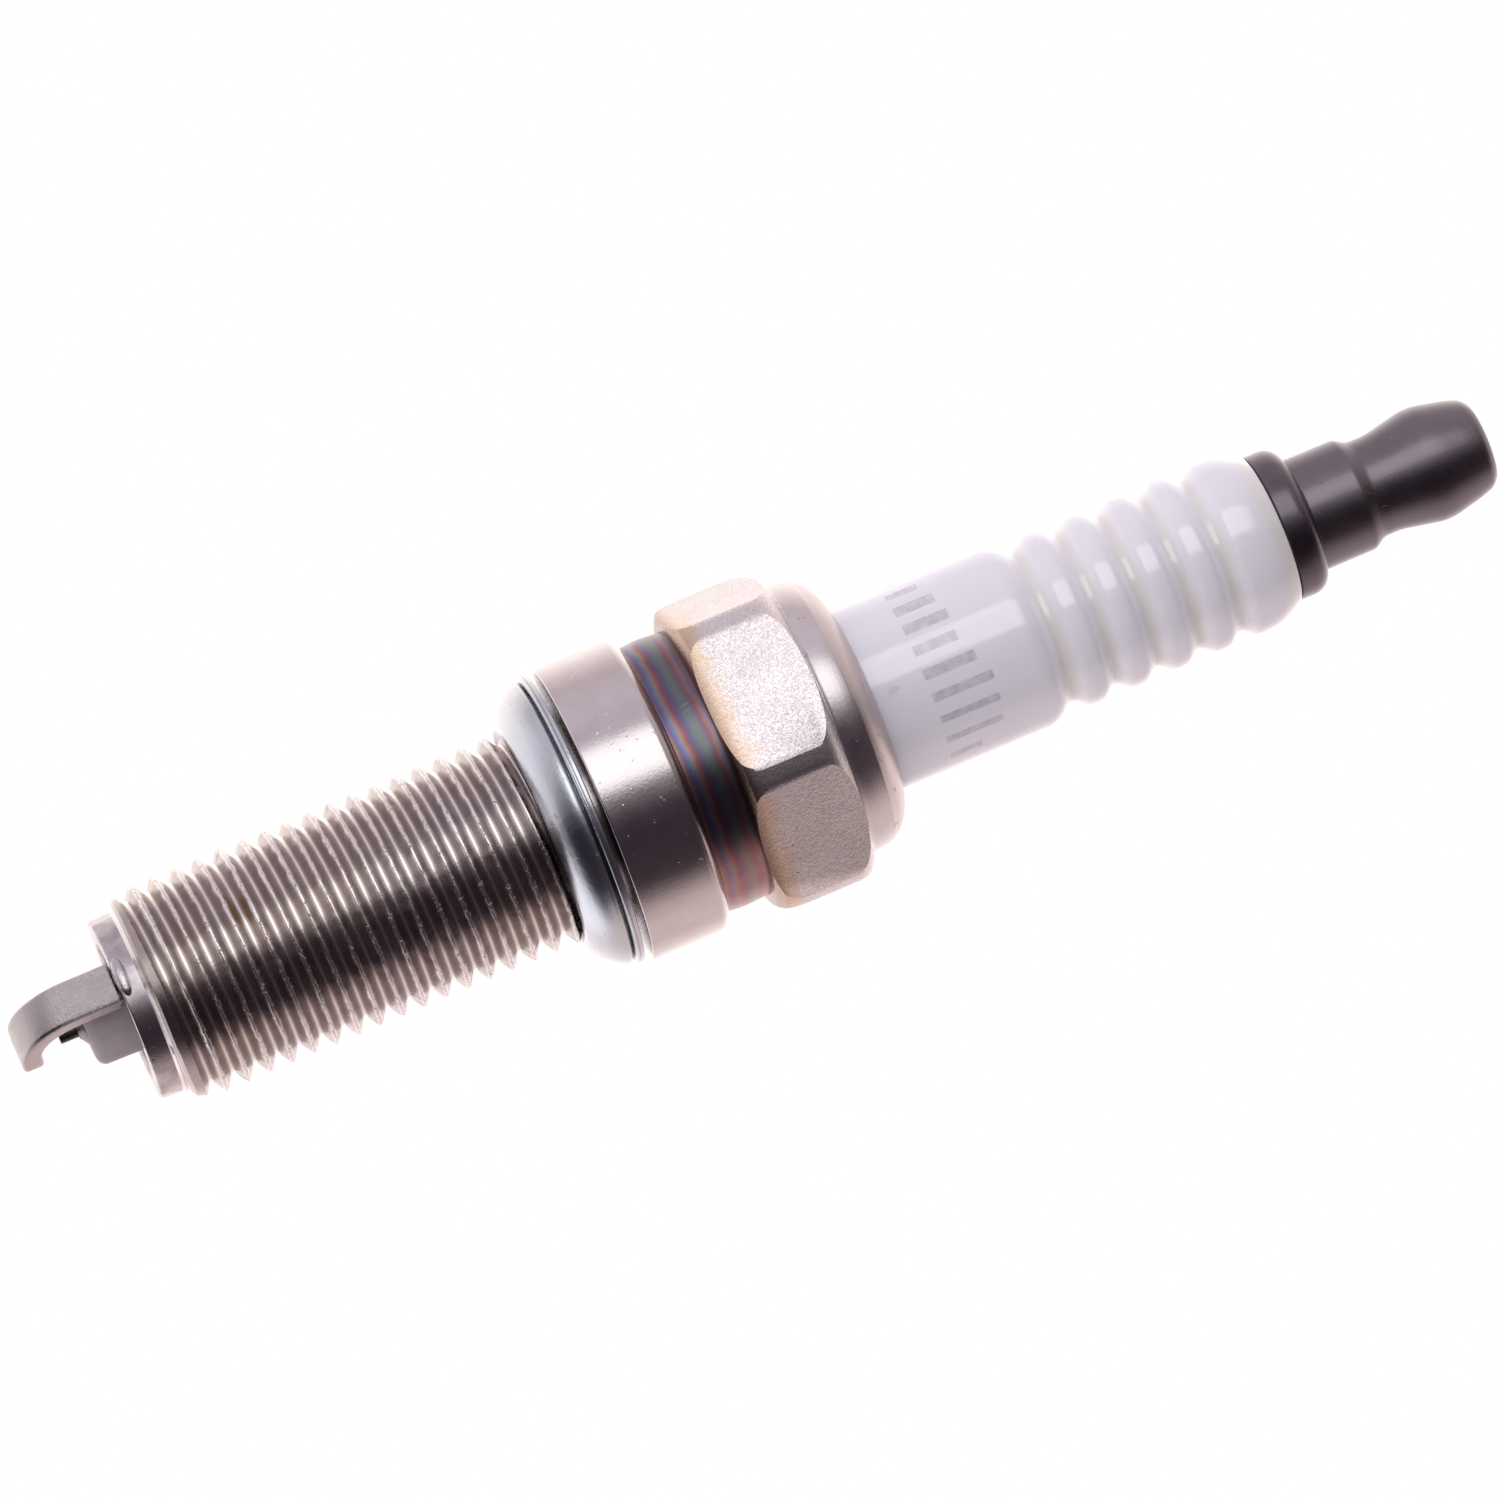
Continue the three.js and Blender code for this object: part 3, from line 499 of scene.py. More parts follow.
# %% Waist, hexagon and crimped shoulder
waist_steel, tree, shader = start_material("waist_steel", Metallic=1)
place = effect(tree, place_group)
shift = cloudy(tree, 5.5, seed=8, softness=0.4)
wobble = cloudy(tree, 1.2, seed=5, softness=0.4)
height = add_up(tree, (place["Height"], 1), (shift, 0.55), (wobble, 0.16), (1.0, -0.36))
color = color_steps(tree, height, [
    (4.6, (0.3, 0.22, 0.18)),
    (4.76, (0.22, 0.13, 0.11)),
    (4.92, (0.13, 0.1, 0.18)),
    (5.1, (0.13, 0.15, 0.25)),
    (5.26, (0.2, 0.19, 0.22)),
    (5.38, (0.27, 0.14, 0.1)),
    (5.54, (0.19, 0.08, 0.11)),
    (5.74, (0.11, 0.1, 0.16)),
    (6.0, (0.13, 0.15, 0.16)),
    (6.25, (0.14, 0.16, 0.14)),
    (6.42, (0.14, 0.12, 0.17)),
    (6.56, (0.2, 0.09, 0.11)),
    (6.7, (0.24, 0.13, 0.1)),
    (6.84, (0.17, 0.15, 0.2)),
    (7.0, (0.15, 0.11, 0.14)),
    (7.2, (0.2, 0.13, 0.1)),
], 4.5, 7.3)
lower_side = calculate(tree, "MULTIPLY", between(tree, place["Angle"], -48, -22),
                       between(tree, place["Angle"], 70, 20))
red_cloud = cloudy(tree, 1.6, seed=9, softness=0.3)
color = lay_over(tree, color, lower_side, add_up(tree, (red_cloud, 0.45), (1.0, 0.2)), (0.5, 0.25, 0.22))
hairs = effect(tree, scratch_group, Size=0.4, Share=0.4, Lean=0.3)["Mask"]
color = lay_over(tree, color, hairs, 0.2, (0.5, 0.44, 0.42))
rough = add_up(tree, (wobble, 0.08), (hairs, 0.1), (1.0, 0.25))
set_surface(tree, shader, color, rough, add_up(
    tree, (relief(tree, lathe_group, 0.06), 0.6), (hairs, -0.4)), 0.01)

hexagon_steel, tree, shader = start_material("hexagon_steel", Metallic=1)
place = effect(tree, place_group)
grain = effect(tree, grain_group, Size=0.11)
patches = cloudy(tree, 1.8, seed=6, softness=0.2)
straw_edge = cloudy(tree, 1.5, seed=7, softness=0.3)
heat = between(tree, add_up(tree, (place["Height"], 1), (straw_edge, -0.9)), HEX_LOW, HEX_LOW + 1.2, 1, 0)
# The band just above the waist is painted dark brown: painted shade where the hexagon meets the waist.
painted_shade_by_waist = between(tree, place["Height"], HEX_LOW - 0.1, HEX_LOW + 0.85, 0.85, 0)
dents = effect(tree, dent_group, Size=0.45, Share=0.03)["Mask"]
color = blend(tree, patches, (0.73, 0.68, 0.67), (0.82, 0.77, 0.76))
color = lay_over(tree, color, grain["Mask"], 0.6, (0.46, 0.415, 0.415))
color = lay_over(tree, color, heat, 0.75, (0.62, 0.44, 0.29))
color = blend(tree, painted_shade_by_waist, color, (0.27, 0.18, 0.14))
color = lay_over(tree, color, dents, 0.5, (0.35, 0.3, 0.29))
rough = add_up(tree, (grain["Mask"], 0.1), (heat, -0.05), (1.0, 0.31))
set_surface(tree, shader, color, rough, add_up(tree, (grain["Height"], 1), (dents, -0.6)), 0.014)

crimp_steel, tree, shader = start_material("crimp_steel", Metallic=1)
place = effect(tree, place_group)
patches = cloudy(tree, 0.8, seed=9, softness=0.25)
dents = effect(tree, dent_group, Size=0.55, Share=0.05)["Mask"]
rolled = between(tree, place["Height"], LIP - 1.35, LIP - 1.05)
color = blend(tree, patches, (0.588, 0.542, 0.546), (0.647, 0.596, 0.596))
color = lay_over(tree, color, rolled, 0.6, (0.622, 0.538, 0.504))
color = lay_over(tree, color, dents, 0.6, (0.336, 0.294, 0.286))
rough = add_up(tree, (patches, 0.06), (rolled, 0.08), (dents, 0.1), (1.0, 0.25))
set_surface(tree, shader, color, rough, add_up(
    tree, (relief(tree, grain_group, 0.12), 0.35), (dents, -1),
    (relief(tree, lathe_group, 0.12), 0.5)), 0.012)
print("made", waist_steel.name, hexagon_steel.name, crimp_steel.name)

# %% [markdown]
# ## Zinc plate
#
# The gasket is zinc plated and passivated, which is bluish white with faint yellow-green clouds. Pressing
# leaves it smoother than the steel.

# %% Gasket finish
zinc_plate, tree, shader = start_material("zinc_plate", Metallic=1)
clouds = cloudy(tree, 2.4, seed=11, softness=0.2)
blotches = cloudy(tree, 0.6, seed=12, softness=0.2)
dents = effect(tree, dent_group, Size=0.45, Share=0.08)["Mask"]
color = blend(tree, clouds, (0.531, 0.554, 0.616), (0.562, 0.585, 0.57))
color = lay_over(tree, color, blotches, 0.2, (0.477, 0.493, 0.539))
color = lay_over(tree, color, dents, 0.5, (0.385, 0.385, 0.385))
rough = add_up(tree, (clouds, 0.08), (dents, 0.15), (1.0, 0.19))
set_surface(tree, shader, color, rough, add_up(
    tree, (relief(tree, grain_group, 0.2), 0.5), (dents, -0.8)), 0.012)
print("made", zinc_plate.name)

# %% [markdown]
# ## Glazed ceramic
#
# Alumina is white and slightly see-through, and a clear glaze covers all that stands above the shell, so
# light scatters under a glossy coat. It gathers a little yellow in the rib valleys. The nose is bare and
# matt, and its colour is painted grey: painted shade for the shadow it lies in inside the shell. Where the
# real part carries printing, a row of plain bars stands in for it.

# %% Ceramic finish
GLAZE_LOW = -17
PRINT_LOW, PRINT_HIGH = 18.5, 22.0
BARS_PER_TURN = 24
GLAZE_COAT = 0.9

glazed_ceramic, tree, shader = start_material("glazed_ceramic", Metallic=0, IOR=1.62, Coat_Roughness=0.06)
place = effect(tree, place_group)
nose = between(tree, place["Height"], GLAZE_LOW - 1, GLAZE_LOW, 1, 0)
in_valley = calculate(tree, "MULTIPLY", between(tree, place["Radius"], 4.75, 4.4),
                      between(tree, place["Height"], 24, 25))
clouds = cloudy(tree, 4, seed=21, softness=0.3)
specks = effect(tree, dent_group, Size=1.1, Share=0.018)["Mask"]
color = blend(tree, clouds, (0.87, 0.885, 0.975), (0.9, 0.91, 0.985))
color = lay_over(tree, color, in_valley, 0.55, (0.86, 0.84, 0.76))
color = lay_over(tree, color, specks, 0.5, (0.6, 0.55, 0.52))
bar_number = calculate(tree, "MULTIPLY", place["Angle"], BARS_PER_TURN / 360)
bar_place = calculate(tree, "FRACT", bar_number)
bar_kind = add_node(tree, "ShaderNodeTexWhiteNoise", {"W": calculate(tree, "FLOOR", bar_number)},
                    noise_dimensions="1D").outputs["Value"]
bar_edge = add_up(tree, (bar_kind, 0.24), (1.0, 0.34))
in_bar = between(tree, calculate(tree, "SUBTRACT", bar_place, bar_edge), -0.03, 0.03, 1, 0)
in_bar = calculate(tree, "MULTIPLY", in_bar, between(tree, bar_place, 0.0, 0.06))
bar_top = add_node(tree, "ShaderNodeTexWhiteNoise", {"W": calculate(tree, "CEIL", bar_number)},
                   noise_dimensions="1D").outputs["Value"]
over_top = add_up(tree, (bar_top, 1.9), (place["Height"], 1), (1.0, -PRINT_HIGH))
in_band = calculate(tree, "MULTIPLY", between(tree, place["Height"], PRINT_LOW - 0.06, PRINT_LOW + 0.06),
                    between(tree, over_top, -0.06, 0.06, 1, 0))
worn = cloudy(tree, 0.5, seed=22, softness=0.25)
faint = add_up(tree, (worn, 0.35), (1.0, 0.2))
printed = calculate(tree, "MULTIPLY", calculate(tree, "MULTIPLY", in_bar, in_band), faint)
front = between(tree, calculate(tree, "ABSOLUTE", calculate(tree, "ADD", place["Angle"], 92)), 84, 84.5, 1, 0)
color = lay_over(tree, color, printed, front, (0.3, 0.27, 0.36))
# The bare nose is painted grey: painted shade for the shadow inside the shell.
shaded_nose_patches = cloudy(tree, 0.7, seed=23, softness=0.3)
shaded_nose_color = blend(tree, shaded_nose_patches, (0.39, 0.355, 0.37), (0.47, 0.435, 0.45))
color = blend(tree, nose, color, shaded_nose_color)
tree.links.new(add_up(tree, (nose, -GLAZE_COAT), (1.0, GLAZE_COAT)), shader.inputs["Coat Weight"])
rough = add_up(tree, (nose, 0.5), (specks, 0.2), (printed, 0.1), (1.0, 0.09))
ripple = cloudy(tree, 2.2, seed=24, softness=0.5)
set_surface(tree, shader, color, rough, add_up(tree, (ripple, 1), (specks, -0.6)), 0.02)
print("made", glazed_ceramic.name, "with", BARS_PER_TURN, "bars to the turn")

# %% [markdown]
# ## Terminal steel and electrode alloys
#
# The terminal is dark and satin under a thin clear film, with lathe lines and cloudy paler places. The
# ground strap's blasted upright part sparkles, and its bend is drawn smooth and darker. The pin is the
# darkest metal.

# %% Terminal and electrodes
terminal_steel, tree, shader = start_material(
    "terminal_steel", Metallic=1, Coat_Weight=0.4, Coat_Roughness=0.08, Coat_IOR=1.5)
place = effect(tree, place_group)
patches = cloudy(tree, 1.4, seed=31, softness=0.25)
hairs = effect(tree, scratch_group, Size=0.45, Share=0.4, Lean=1.3)["Mask"]
dents = effect(tree, dent_group, Size=0.5, Share=0.06)["Mask"]
head = between(tree, place["Height"], CERAMIC_TOP + 1.0, CERAMIC_TOP + 2.2)
color = blend(tree, head, (0.104, 0.086, 0.102), (0.165, 0.143, 0.16))
color = lay_over(tree, color, patches, 0.4, (0.2, 0.176, 0.19))
color = lay_over(tree, color, hairs, 0.3, (0.4, 0.368, 0.368))
rough = add_up(tree, (patches, 0.08), (head, 0.05), (hairs, 0.1), (1.0, 0.28))
set_surface(tree, shader, color, rough, add_up(
    tree, (relief(tree, lathe_group, 0.1), 0.6), (hairs, -0.5), (dents, -1),
    (relief(tree, grain_group, 0.15), 0.3)), 0.012)

strap_alloy, tree, shader = start_material("strap_alloy", Metallic=1)
place = effect(tree, place_group)
grain = effect(tree, grain_group, Size=0.1)
patches = cloudy(tree, 0.8, seed=41, softness=0.2)
blasted = between(tree, place["Height"], RIM - 3.9, RIM - 2.9)
weld_metal = between(tree, place["Height"], RIM - 0.22, RIM - 0.1)
color = blend(tree, blasted, (0.448, 0.4, 0.392), (0.576, 0.544, 0.552))
color = lay_over(tree, color, patches, 0.35, (0.48, 0.424, 0.4))
color = lay_over(tree, color, grain["Mask"], 0.35, (0.336, 0.304, 0.304))
rough = add_up(tree, (blasted, 0.04), (patches, 0.08), (weld_metal, -0.22), (1.0, 0.31))
grain_depth = calculate(tree, "MULTIPLY", add_up(tree, (blasted, 0.9), (weld_metal, -0.9), (1.0, 0.3)),
                        grain["Height"])
set_surface(tree, shader, color, rough, grain_depth, 0.05)

tip_alloy, tree, shader = start_material("tip_alloy", Metallic=1)
patches = cloudy(tree, 0.5, seed=42, softness=0.2)
color = blend(tree, patches, (0.208, 0.176, 0.176), (0.32, 0.28, 0.272))
set_surface(tree, shader, color, add_up(tree, (patches, 0.1), (1.0, 0.33)),
            relief(tree, grain_group, 0.1), 0.01)

pin_metal, tree, shader = start_material("pin_metal", Metallic=1)
patches = cloudy(tree, 0.3, seed=43, softness=0.2)
color = blend(tree, patches, (0.072, 0.064, 0.068), (0.128, 0.116, 0.12))
set_surface(tree, shader, color, add_up(tree, (patches, 0.1), (1.0, 0.34)),
            relief(tree, lathe_group, 0.04), 0.008)
print("made", terminal_steel.name, strap_alloy.name, tip_alloy.name, pin_metal.name)

# %% [markdown]
# ## Pieces inside the shell
#
# The seals, resistor, copper core and packings can't be seen on a whole plug. Their CAD shapes are right as
# they are, so they keep them and only get a finish, for anyone who takes the plug apart.

# %% Inner finishes
INNER_FINISHES = {
    "copper": ((0.72, 0.36, 0.22), (0.6, 0.28, 0.17), 1, 0.32, ["center_electrode_core"]),
    "conductive_glass": ((0.2, 0.17, 0.15), (0.32, 0.26, 0.22), 0.2, 0.3,
                         ["lower_glass_seal", "upper_glass_seal"]),
    "carbon_resistor": ((0.05, 0.05, 0.05), (0.1, 0.09, 0.09), 0, 0.75, ["resistor"]),
    "packing_steel": ((0.45, 0.42, 0.4), (0.55, 0.52, 0.5), 1, 0.4,
                      ["seat_packing", "lower_packing_ring", "upper_packing_ring"]),
    "talc": ((0.8, 0.79, 0.75), (0.7, 0.69, 0.65), 0, 0.95, ["talc_packing"]),
}
for seed, (name, (first, second, metallic, roughness, pieces)) in enumerate(INNER_FINISHES.items()):
    material, tree, shader = start_material(name + "_finish", Metallic=metallic)
    patches = cloudy(tree, 0.7, seed=50 + seed, softness=0.2)
    rough = add_up(tree, (patches, 0.08), (1.0, roughness))
    set_surface(tree, shader, blend(tree, patches, first, second), rough,
                relief(tree, grain_group, 0.15), 0.015)
    for piece in pieces:
        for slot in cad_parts[piece].material_slots:
            slot.material = material
print("inner finishes:", list(INNER_FINISHES))

# %% [markdown]
# ## Metal shell
#
# The shell is one piece of cold-formed steel that is turned, thread-rolled, plated and finally crimped over
# the ceramic. Its round parts are one outline: the plain end below the thread, the collar with its sealing
# face, the thin waist that is heated and squeezed, and the shoulder that is rolled over into the lip.

# %% Shell: turned core
PLAIN_RADIUS = 5.04
CORE_RADIUS = 4.9
SLEEVE_RADIUS = 5.12
COLLAR_RADIUS = 8.33
WAIST_RADIUS = 7.5
HEX_CORE_RADIUS = 7.3
LIP_RADIUS = CERAMIC_RADIUS + FIT
LIP_THICKNESS = 1.2

shell = turn("metal_shell_fine", [
    (0, RIM),
    (PLAIN_RADIUS - 0.06, RIM, 0.16),
    (PLAIN_RADIUS, RIM + 1.22, 0.05),
    (CORE_RADIUS, RIM + 1.35),
    (CORE_RADIUS, -2.9),
    (SLEEVE_RADIUS, -2.8),
    (SLEEVE_RADIUS, 0),
    (COLLAR_RADIUS, 0, 0.16),
    (COLLAR_RADIUS - 0.03, COLLAR_TOP - 0.45, 0.2),
    (7.95, COLLAR_TOP - 0.1, 0.12),
    (WAIST_RADIUS - 0.06, COLLAR_TOP + 0.06, 0.08),
    (WAIST_RADIUS - 0.02, COLLAR_TOP + 0.3, 0.1),
    (WAIST_RADIUS + 0.08, COLLAR_TOP + 1.1, 0.5),
    (WAIST_RADIUS - 0.02, HEX_LOW - 0.5, 0.3),
    (WAIST_RADIUS, HEX_LOW + 0.1),
    (HEX_CORE_RADIUS, HEX_LOW + 0.2),
    (HEX_CORE_RADIUS, HEX_HIGH - 0.2),
    (7.66, HEX_HIGH - 0.04, 0.06),
    (7.56, HEX_HIGH + 0.15, 0.08),
    (7.48, HEX_HIGH + 1.0, 0.4),
    (7.3, HEX_HIGH + 1.48, 0.35),
    (6.72, LIP - 0.6, 0.5),
    (5.9, LIP - 0.19, 0.3),
    (5.24, LIP, 0.12),
    (LIP_RADIUS, LIP - 0.25),
    (LIP_RADIUS, LIP - LIP_THICKNESS),
    (0, LIP - LIP_THICKNESS),
])
print("turned core:", len(shell.data.polygons), "faces")

# %% [markdown]
# A rolled thread is one section carried up a helix, so a screw modifier makes it from the outline of a
# single pitch. It is given more turns than it needs and closed at both ends. The turned blank then trims
# it: the real blank has a chamfer too, which is why the first turn fades in and the last one fades out.

# %% Shell: thread
PITCH = 1.25
TURNS = 22
THREAD_STEPS = 120
FIRST_CREST = -26.949
CREST_HALF = 0.065
ROOT_HALF = 0.085
NICK_DEPTH = 0.06

lowest = FIRST_CREST - PITCH / 2
thread = draw_outline("thread", [
    (ROOT_RADIUS, lowest),
    (ROOT_RADIUS, lowest + ROOT_HALF, 0.09),
    (CREST_RADIUS, FIRST_CREST - CREST_HALF, 0.05),
    (CREST_RADIUS, FIRST_CREST + CREST_HALF, 0.05),
    (ROOT_RADIUS, lowest + PITCH - ROOT_HALF, 0.09),
    (ROOT_RADIUS, lowest + PITCH),
], segments=3)
apply_modifier(thread, "SCREW", axis="Z", angle=2 * math.pi, screw_offset=PITCH * MM, iterations=TURNS,
               steps=THREAD_STEPS, render_steps=THREAD_STEPS)
bpy.ops.object.mode_set(mode="EDIT")
bpy.ops.mesh.select_all(action="SELECT")
bpy.ops.mesh.remove_doubles(threshold=1e-6)
for height, keep_above in ((RIM + 0.9, True), (-2.2, False)):
    bpy.ops.mesh.select_all(action="SELECT")
    bpy.ops.mesh.bisect(plane_co=(0, 0, height * MM), plane_no=(0, 0, 1), use_fill=True, threshold=1e-8,
                        clear_inner=keep_above, clear_outer=not keep_above)
close_and_face_out()
print("thread:", len(thread.data.polygons), "faces,", TURNS, "turns")

# %% [markdown]
# Handling nicks the sharp crests of a thread all over. A displace modifier with a fine cloud pattern pushes
# short lengths of the crests in by a few hundredths of a millimetre, and leaves the flanks alone.

# %% Shell: nicked crests
crests = thread.vertex_groups.new(name="crests")
crests.add([vertex.index for vertex in thread.data.vertices
            if math.hypot(vertex.co.x, vertex.co.y) > (CREST_RADIUS - 0.06) * MM], 1, "REPLACE")
dents = bpy.data.textures.new("crest_nicks", "CLOUDS")
dents.noise_scale = 0.3 * MM
dents.noise_depth = 2
dents.contrast = 2.2
apply_modifier(thread, "DISPLACE", texture=dents, texture_coords="LOCAL", vertex_group="crests",
               strength=NICK_DEPTH * MM, mid_level=0.75)

blank = turn("thread_blank", [
    (0, RIM + 1.12),
    (PLAIN_RADIUS - 0.08, RIM + 1.12),
    (ROOT_RADIUS + 0.03, RIM + 1.38),
    (5.5, RIM + 1.56),
    (5.72, RIM + 2.2),
    (6.1, RIM + 3.0),
    (6.1, GASKET + 0.03),
    (5.5, GASKET + 0.3),
    (5.15, GASKET + 0.45),
    (0, GASKET + 0.45),
])
combine(thread, blank, "INTERSECT")
combine(shell, thread, "UNION")
print("shell with thread:", len(shell.data.polygons), "faces")

# %% [markdown]
# The hexagon is a six-sided bar with a turned chamfer at each end. The bar's corners are bevelled first,
# and cutting it with a turned disc leaves the curved edges that every hexagon has.

# %% Shell: hexagon
HEX_FLAT = 8.0
HEX_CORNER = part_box("metal_shell")[1][0] / MM
HEX_CORNER_BEVEL = 0.42

start_clean()
bpy.ops.mesh.primitive_cylinder_add(vertices=6, radius=HEX_FLAT / math.cos(math.pi / 6) * MM, depth=9 * MM,
                                    location=(0, 0, 10 * MM), rotation=(0, 0, math.pi / 6))
hexagon = bpy.context.object
hexagon.name = "hexagon"
bpy.ops.object.transform_apply(location=True, rotation=True, scale=True)


def is_upright(edge):
    first, second = (hexagon.data.vertices[index].co for index in edge.vertices)
    return abs(first.z - second.z) > MM


pick("EDGE", is_upright)
bpy.ops.mesh.bevel(offset=HEX_CORNER_BEVEL * MM, segments=5, affect="EDGES")
bpy.ops.object.mode_set(mode="OBJECT")
print("hexagon corner at", round(max(vertex.co.x for vertex in hexagon.data.vertices) / MM, 2))
hex_disc = turn("hex_disc", [
    (0, HEX_LOW - 0.04),
    (7.42, HEX_LOW - 0.04),
    (8.05, HEX_LOW + 0.02, 0.05),
    (8.29, HEX_LOW + 0.12, 0.1),
    (8.67, HEX_LOW + 0.38, 0.1),
    (8.79, HEX_LOW + 0.65, 0.1),
    (HEX_CORNER, HEX_LOW + 1.2, 0.3),
    (HEX_CORNER, HEX_HIGH - 1.15, 0.3),
    (8.79, HEX_HIGH - 0.83, 0.1),
    (8.67, HEX_HIGH - 0.64, 0.1),
    (8.45, HEX_HIGH - 0.4, 0.1),
    (8.0, HEX_HIGH - 0.1, 0.08),
    (7.2, HEX_HIGH + 0.02),
    (0, HEX_HIGH + 0.02),
])
combine(hexagon, hex_disc, "INTERSECT")
combine(shell, hexagon, "UNION")

# %% [markdown]
# Last comes the bore, cut as on the lathe: a wide pocket round the ceramic's nose, a narrower throat that
# seals on it, and the room for its boss and the packing. Only the pocket's mouth can be seen.

# %% Shell: bore and zones
POCKET_RADIUS = 3.7
THROAT_RADIUS = 3.25
TRUNK_BORE = 3.95
BOSS_BORE = 6.0
MOUTH_CHAMFER = 0.16
PAST = 1

bore = turn("bore", [
    (0, RIM - PAST),
    (POCKET_RADIUS + MOUTH_CHAMFER, RIM - PAST),
    (POCKET_RADIUS + MOUTH_CHAMFER, RIM),
    (POCKET_RADIUS, RIM + MOUTH_CHAMFER, 0.05),
    (POCKET_RADIUS, RIM + 11.85),
    (THROAT_RADIUS, RIM + 12.3),
    (THROAT_RADIUS, RIM + 13.6),
    (TRUNK_BORE, RIM + 14.3),
    (TRUNK_BORE, 1.96),
    (BOSS_BORE, 3.4),
    (BOSS_BORE, LIP - 2.55),
    (LIP_RADIUS, LIP - 1.3),
    (LIP_RADIUS, LIP + PAST),
    (0, LIP + PAST),
])
combine(shell, bore, "DIFFERENCE")
finish_piece(shell, "plug", "plated_steel",
             [plain_end_steel, thread_steel, collar_steel, waist_steel, hexagon_steel, crimp_steel],
             "metal_shell",
             zone_tops=(RIM + 1.2, GASKET + 0.45, COLLAR_TOP + 0.02, HEX_LOW - 0.03, HEX_HIGH - 0.01))

# %% [markdown]
# ## Gasket
#
# The gasket is a sheet-steel ring folded over on itself, which crushes when the plug is tightened. Its
# outline is the fold seen from the side: a domed band that meets the engine, a deep crease, and a second
# narrow fold under the collar. It is caught behind the thread's last turn, so it stays on a body of its
# own.

# %% Gasket
gasket = turn("gasket_fine", [
    (5.99, GASKET + 0.08),
    (6.05, GASKET, 0.03),
    (6.24, GASKET + 0.02, 0.1),
    (6.5, GASKET + 0.1, 0.1),
    (6.97, GASKET + 0.4, 0.25),
    (7.52, GASKET + 0.92, 0.25),
    (7.88, GASKET + 1.45, 0.25),
    (8.02, GASKET + 1.86, 0.14),
    (7.86, GASKET + 2.0, 0.06),
    (7.25, GASKET + 1.98, 0.05),
    (7.25, GASKET + 2.08, 0.05),
    (7.95, GASKET + 2.1, 0.06),
    (8.15, GASKET + 2.2, 0.06),
    (8.17, GASKET + 2.3, 0.02),
    (8.1, GASKET + 2.33, 0.02),
    (8.17, GASKET + 2.37, 0.02),
    (8.15, GASKET_TOP - 0.03, 0.06),
    (8.0, GASKET_TOP, 0.05),
    (6.2, GASKET_TOP, 0.2),
    (5.62, GASKET + 1.75, 0.2),
    (5.56, GASKET + 0.6, 0.15),
    (5.72, GASKET + 0.32, 0.1),
    (5.99, GASKET + 0.08),
], segments=4)
finish_piece(gasket, "gasket", "zinc_plate", [zinc_plate], "gasket", smooth=40)

# %% [markdown]
# ## Insulator
#
# The ceramic is pressed, ground to this outline and glazed above the shell. Five ribs near its upper end
# make a longer way for a stray spark to creep. They are a smooth wave, so the outline follows a cosine
# there.

# %% Insulator
RIB_PITCH = 2.42
RIB_DEPTH = 0.56
RIB_CREST = 4.94
RIBS = 5
STEPS_PER_RIB = 10
TRUNK_RADIUS = 3.85
BOSS_RADIUS = 5.9
NOSE_BORE = ELECTRODE_RADIUS + FIT
CENTRE_BORE = HEAD_RADIUS + 0.1

top_crest = CERAMIC_TOP - 2.45
ribs = []
for step in range(int((RIBS - 0.5) * STEPS_PER_RIB), 0, -1):
    wave = step / STEPS_PER_RIB
    depth = (1 - math.cos(2 * math.pi * wave)) / 2
    ribs.append((RIB_CREST - RIB_DEPTH * depth ** 1.9, top_crest - wave * RIB_PITCH))
valley = ribs[0][1]
insulator = turn("insulator_fine", [
    (NOSE_BORE, NOSE),
    (2.22, NOSE, 0.5),
    (2.26, RIM, 0.4),
    (2.9, RIM + 11.3),
    (THROAT_RADIUS - 0.1, RIM + 12.3),
    (THROAT_RADIUS - 0.1, RIM + 13.9),
    (TRUNK_RADIUS, RIM + 14.6),
    (TRUNK_RADIUS, 2.4),
    (BOSS_RADIUS, 3.8, 0.2),
    (BOSS_RADIUS, 9.3, 0.2),
    (CERAMIC_RADIUS, 9.5),
    (CERAMIC_RADIUS, valley - 1.1, 0.6),
    (RIB_CREST - RIB_DEPTH - 0.02, valley - 0.22, 0.3),
    *ribs,
    (RIB_CREST + 0.01, top_crest, 0.3),
    (RIB_CREST - 0.03, top_crest + 0.75, 0.4),
    (4.74, CERAMIC_TOP - 1.2, 0.4),
    (4.5, CERAMIC_TOP - 0.66, 0.4),
    (4.1, CERAMIC_TOP, 0.14),
    (CENTRE_BORE, CERAMIC_TOP),
    (CENTRE_BORE, HEAD_LOW),
    (NOSE_BORE, HEAD_LOW - 0.6),
    (NOSE_BORE, NOSE),
])
finish_piece(insulator, "plug", "glazed_alumina", [glazed_ceramic], "insulator", smooth=60)

# %% [markdown]
# ## Terminal
#
# The terminal and the rod down to the inner seal are one turned piece. A spring clip inside the plug cap
# snaps past the barrel-shaped head and settles in the neck behind it.

# %% Terminal
FLANGE = CERAMIC_TOP + FIT
FLANGE_RADIUS = 4.07
TAIL_RADIUS = 1.05
TAIL_LENGTH = 2.6
ROD_RADIUS = 1.5

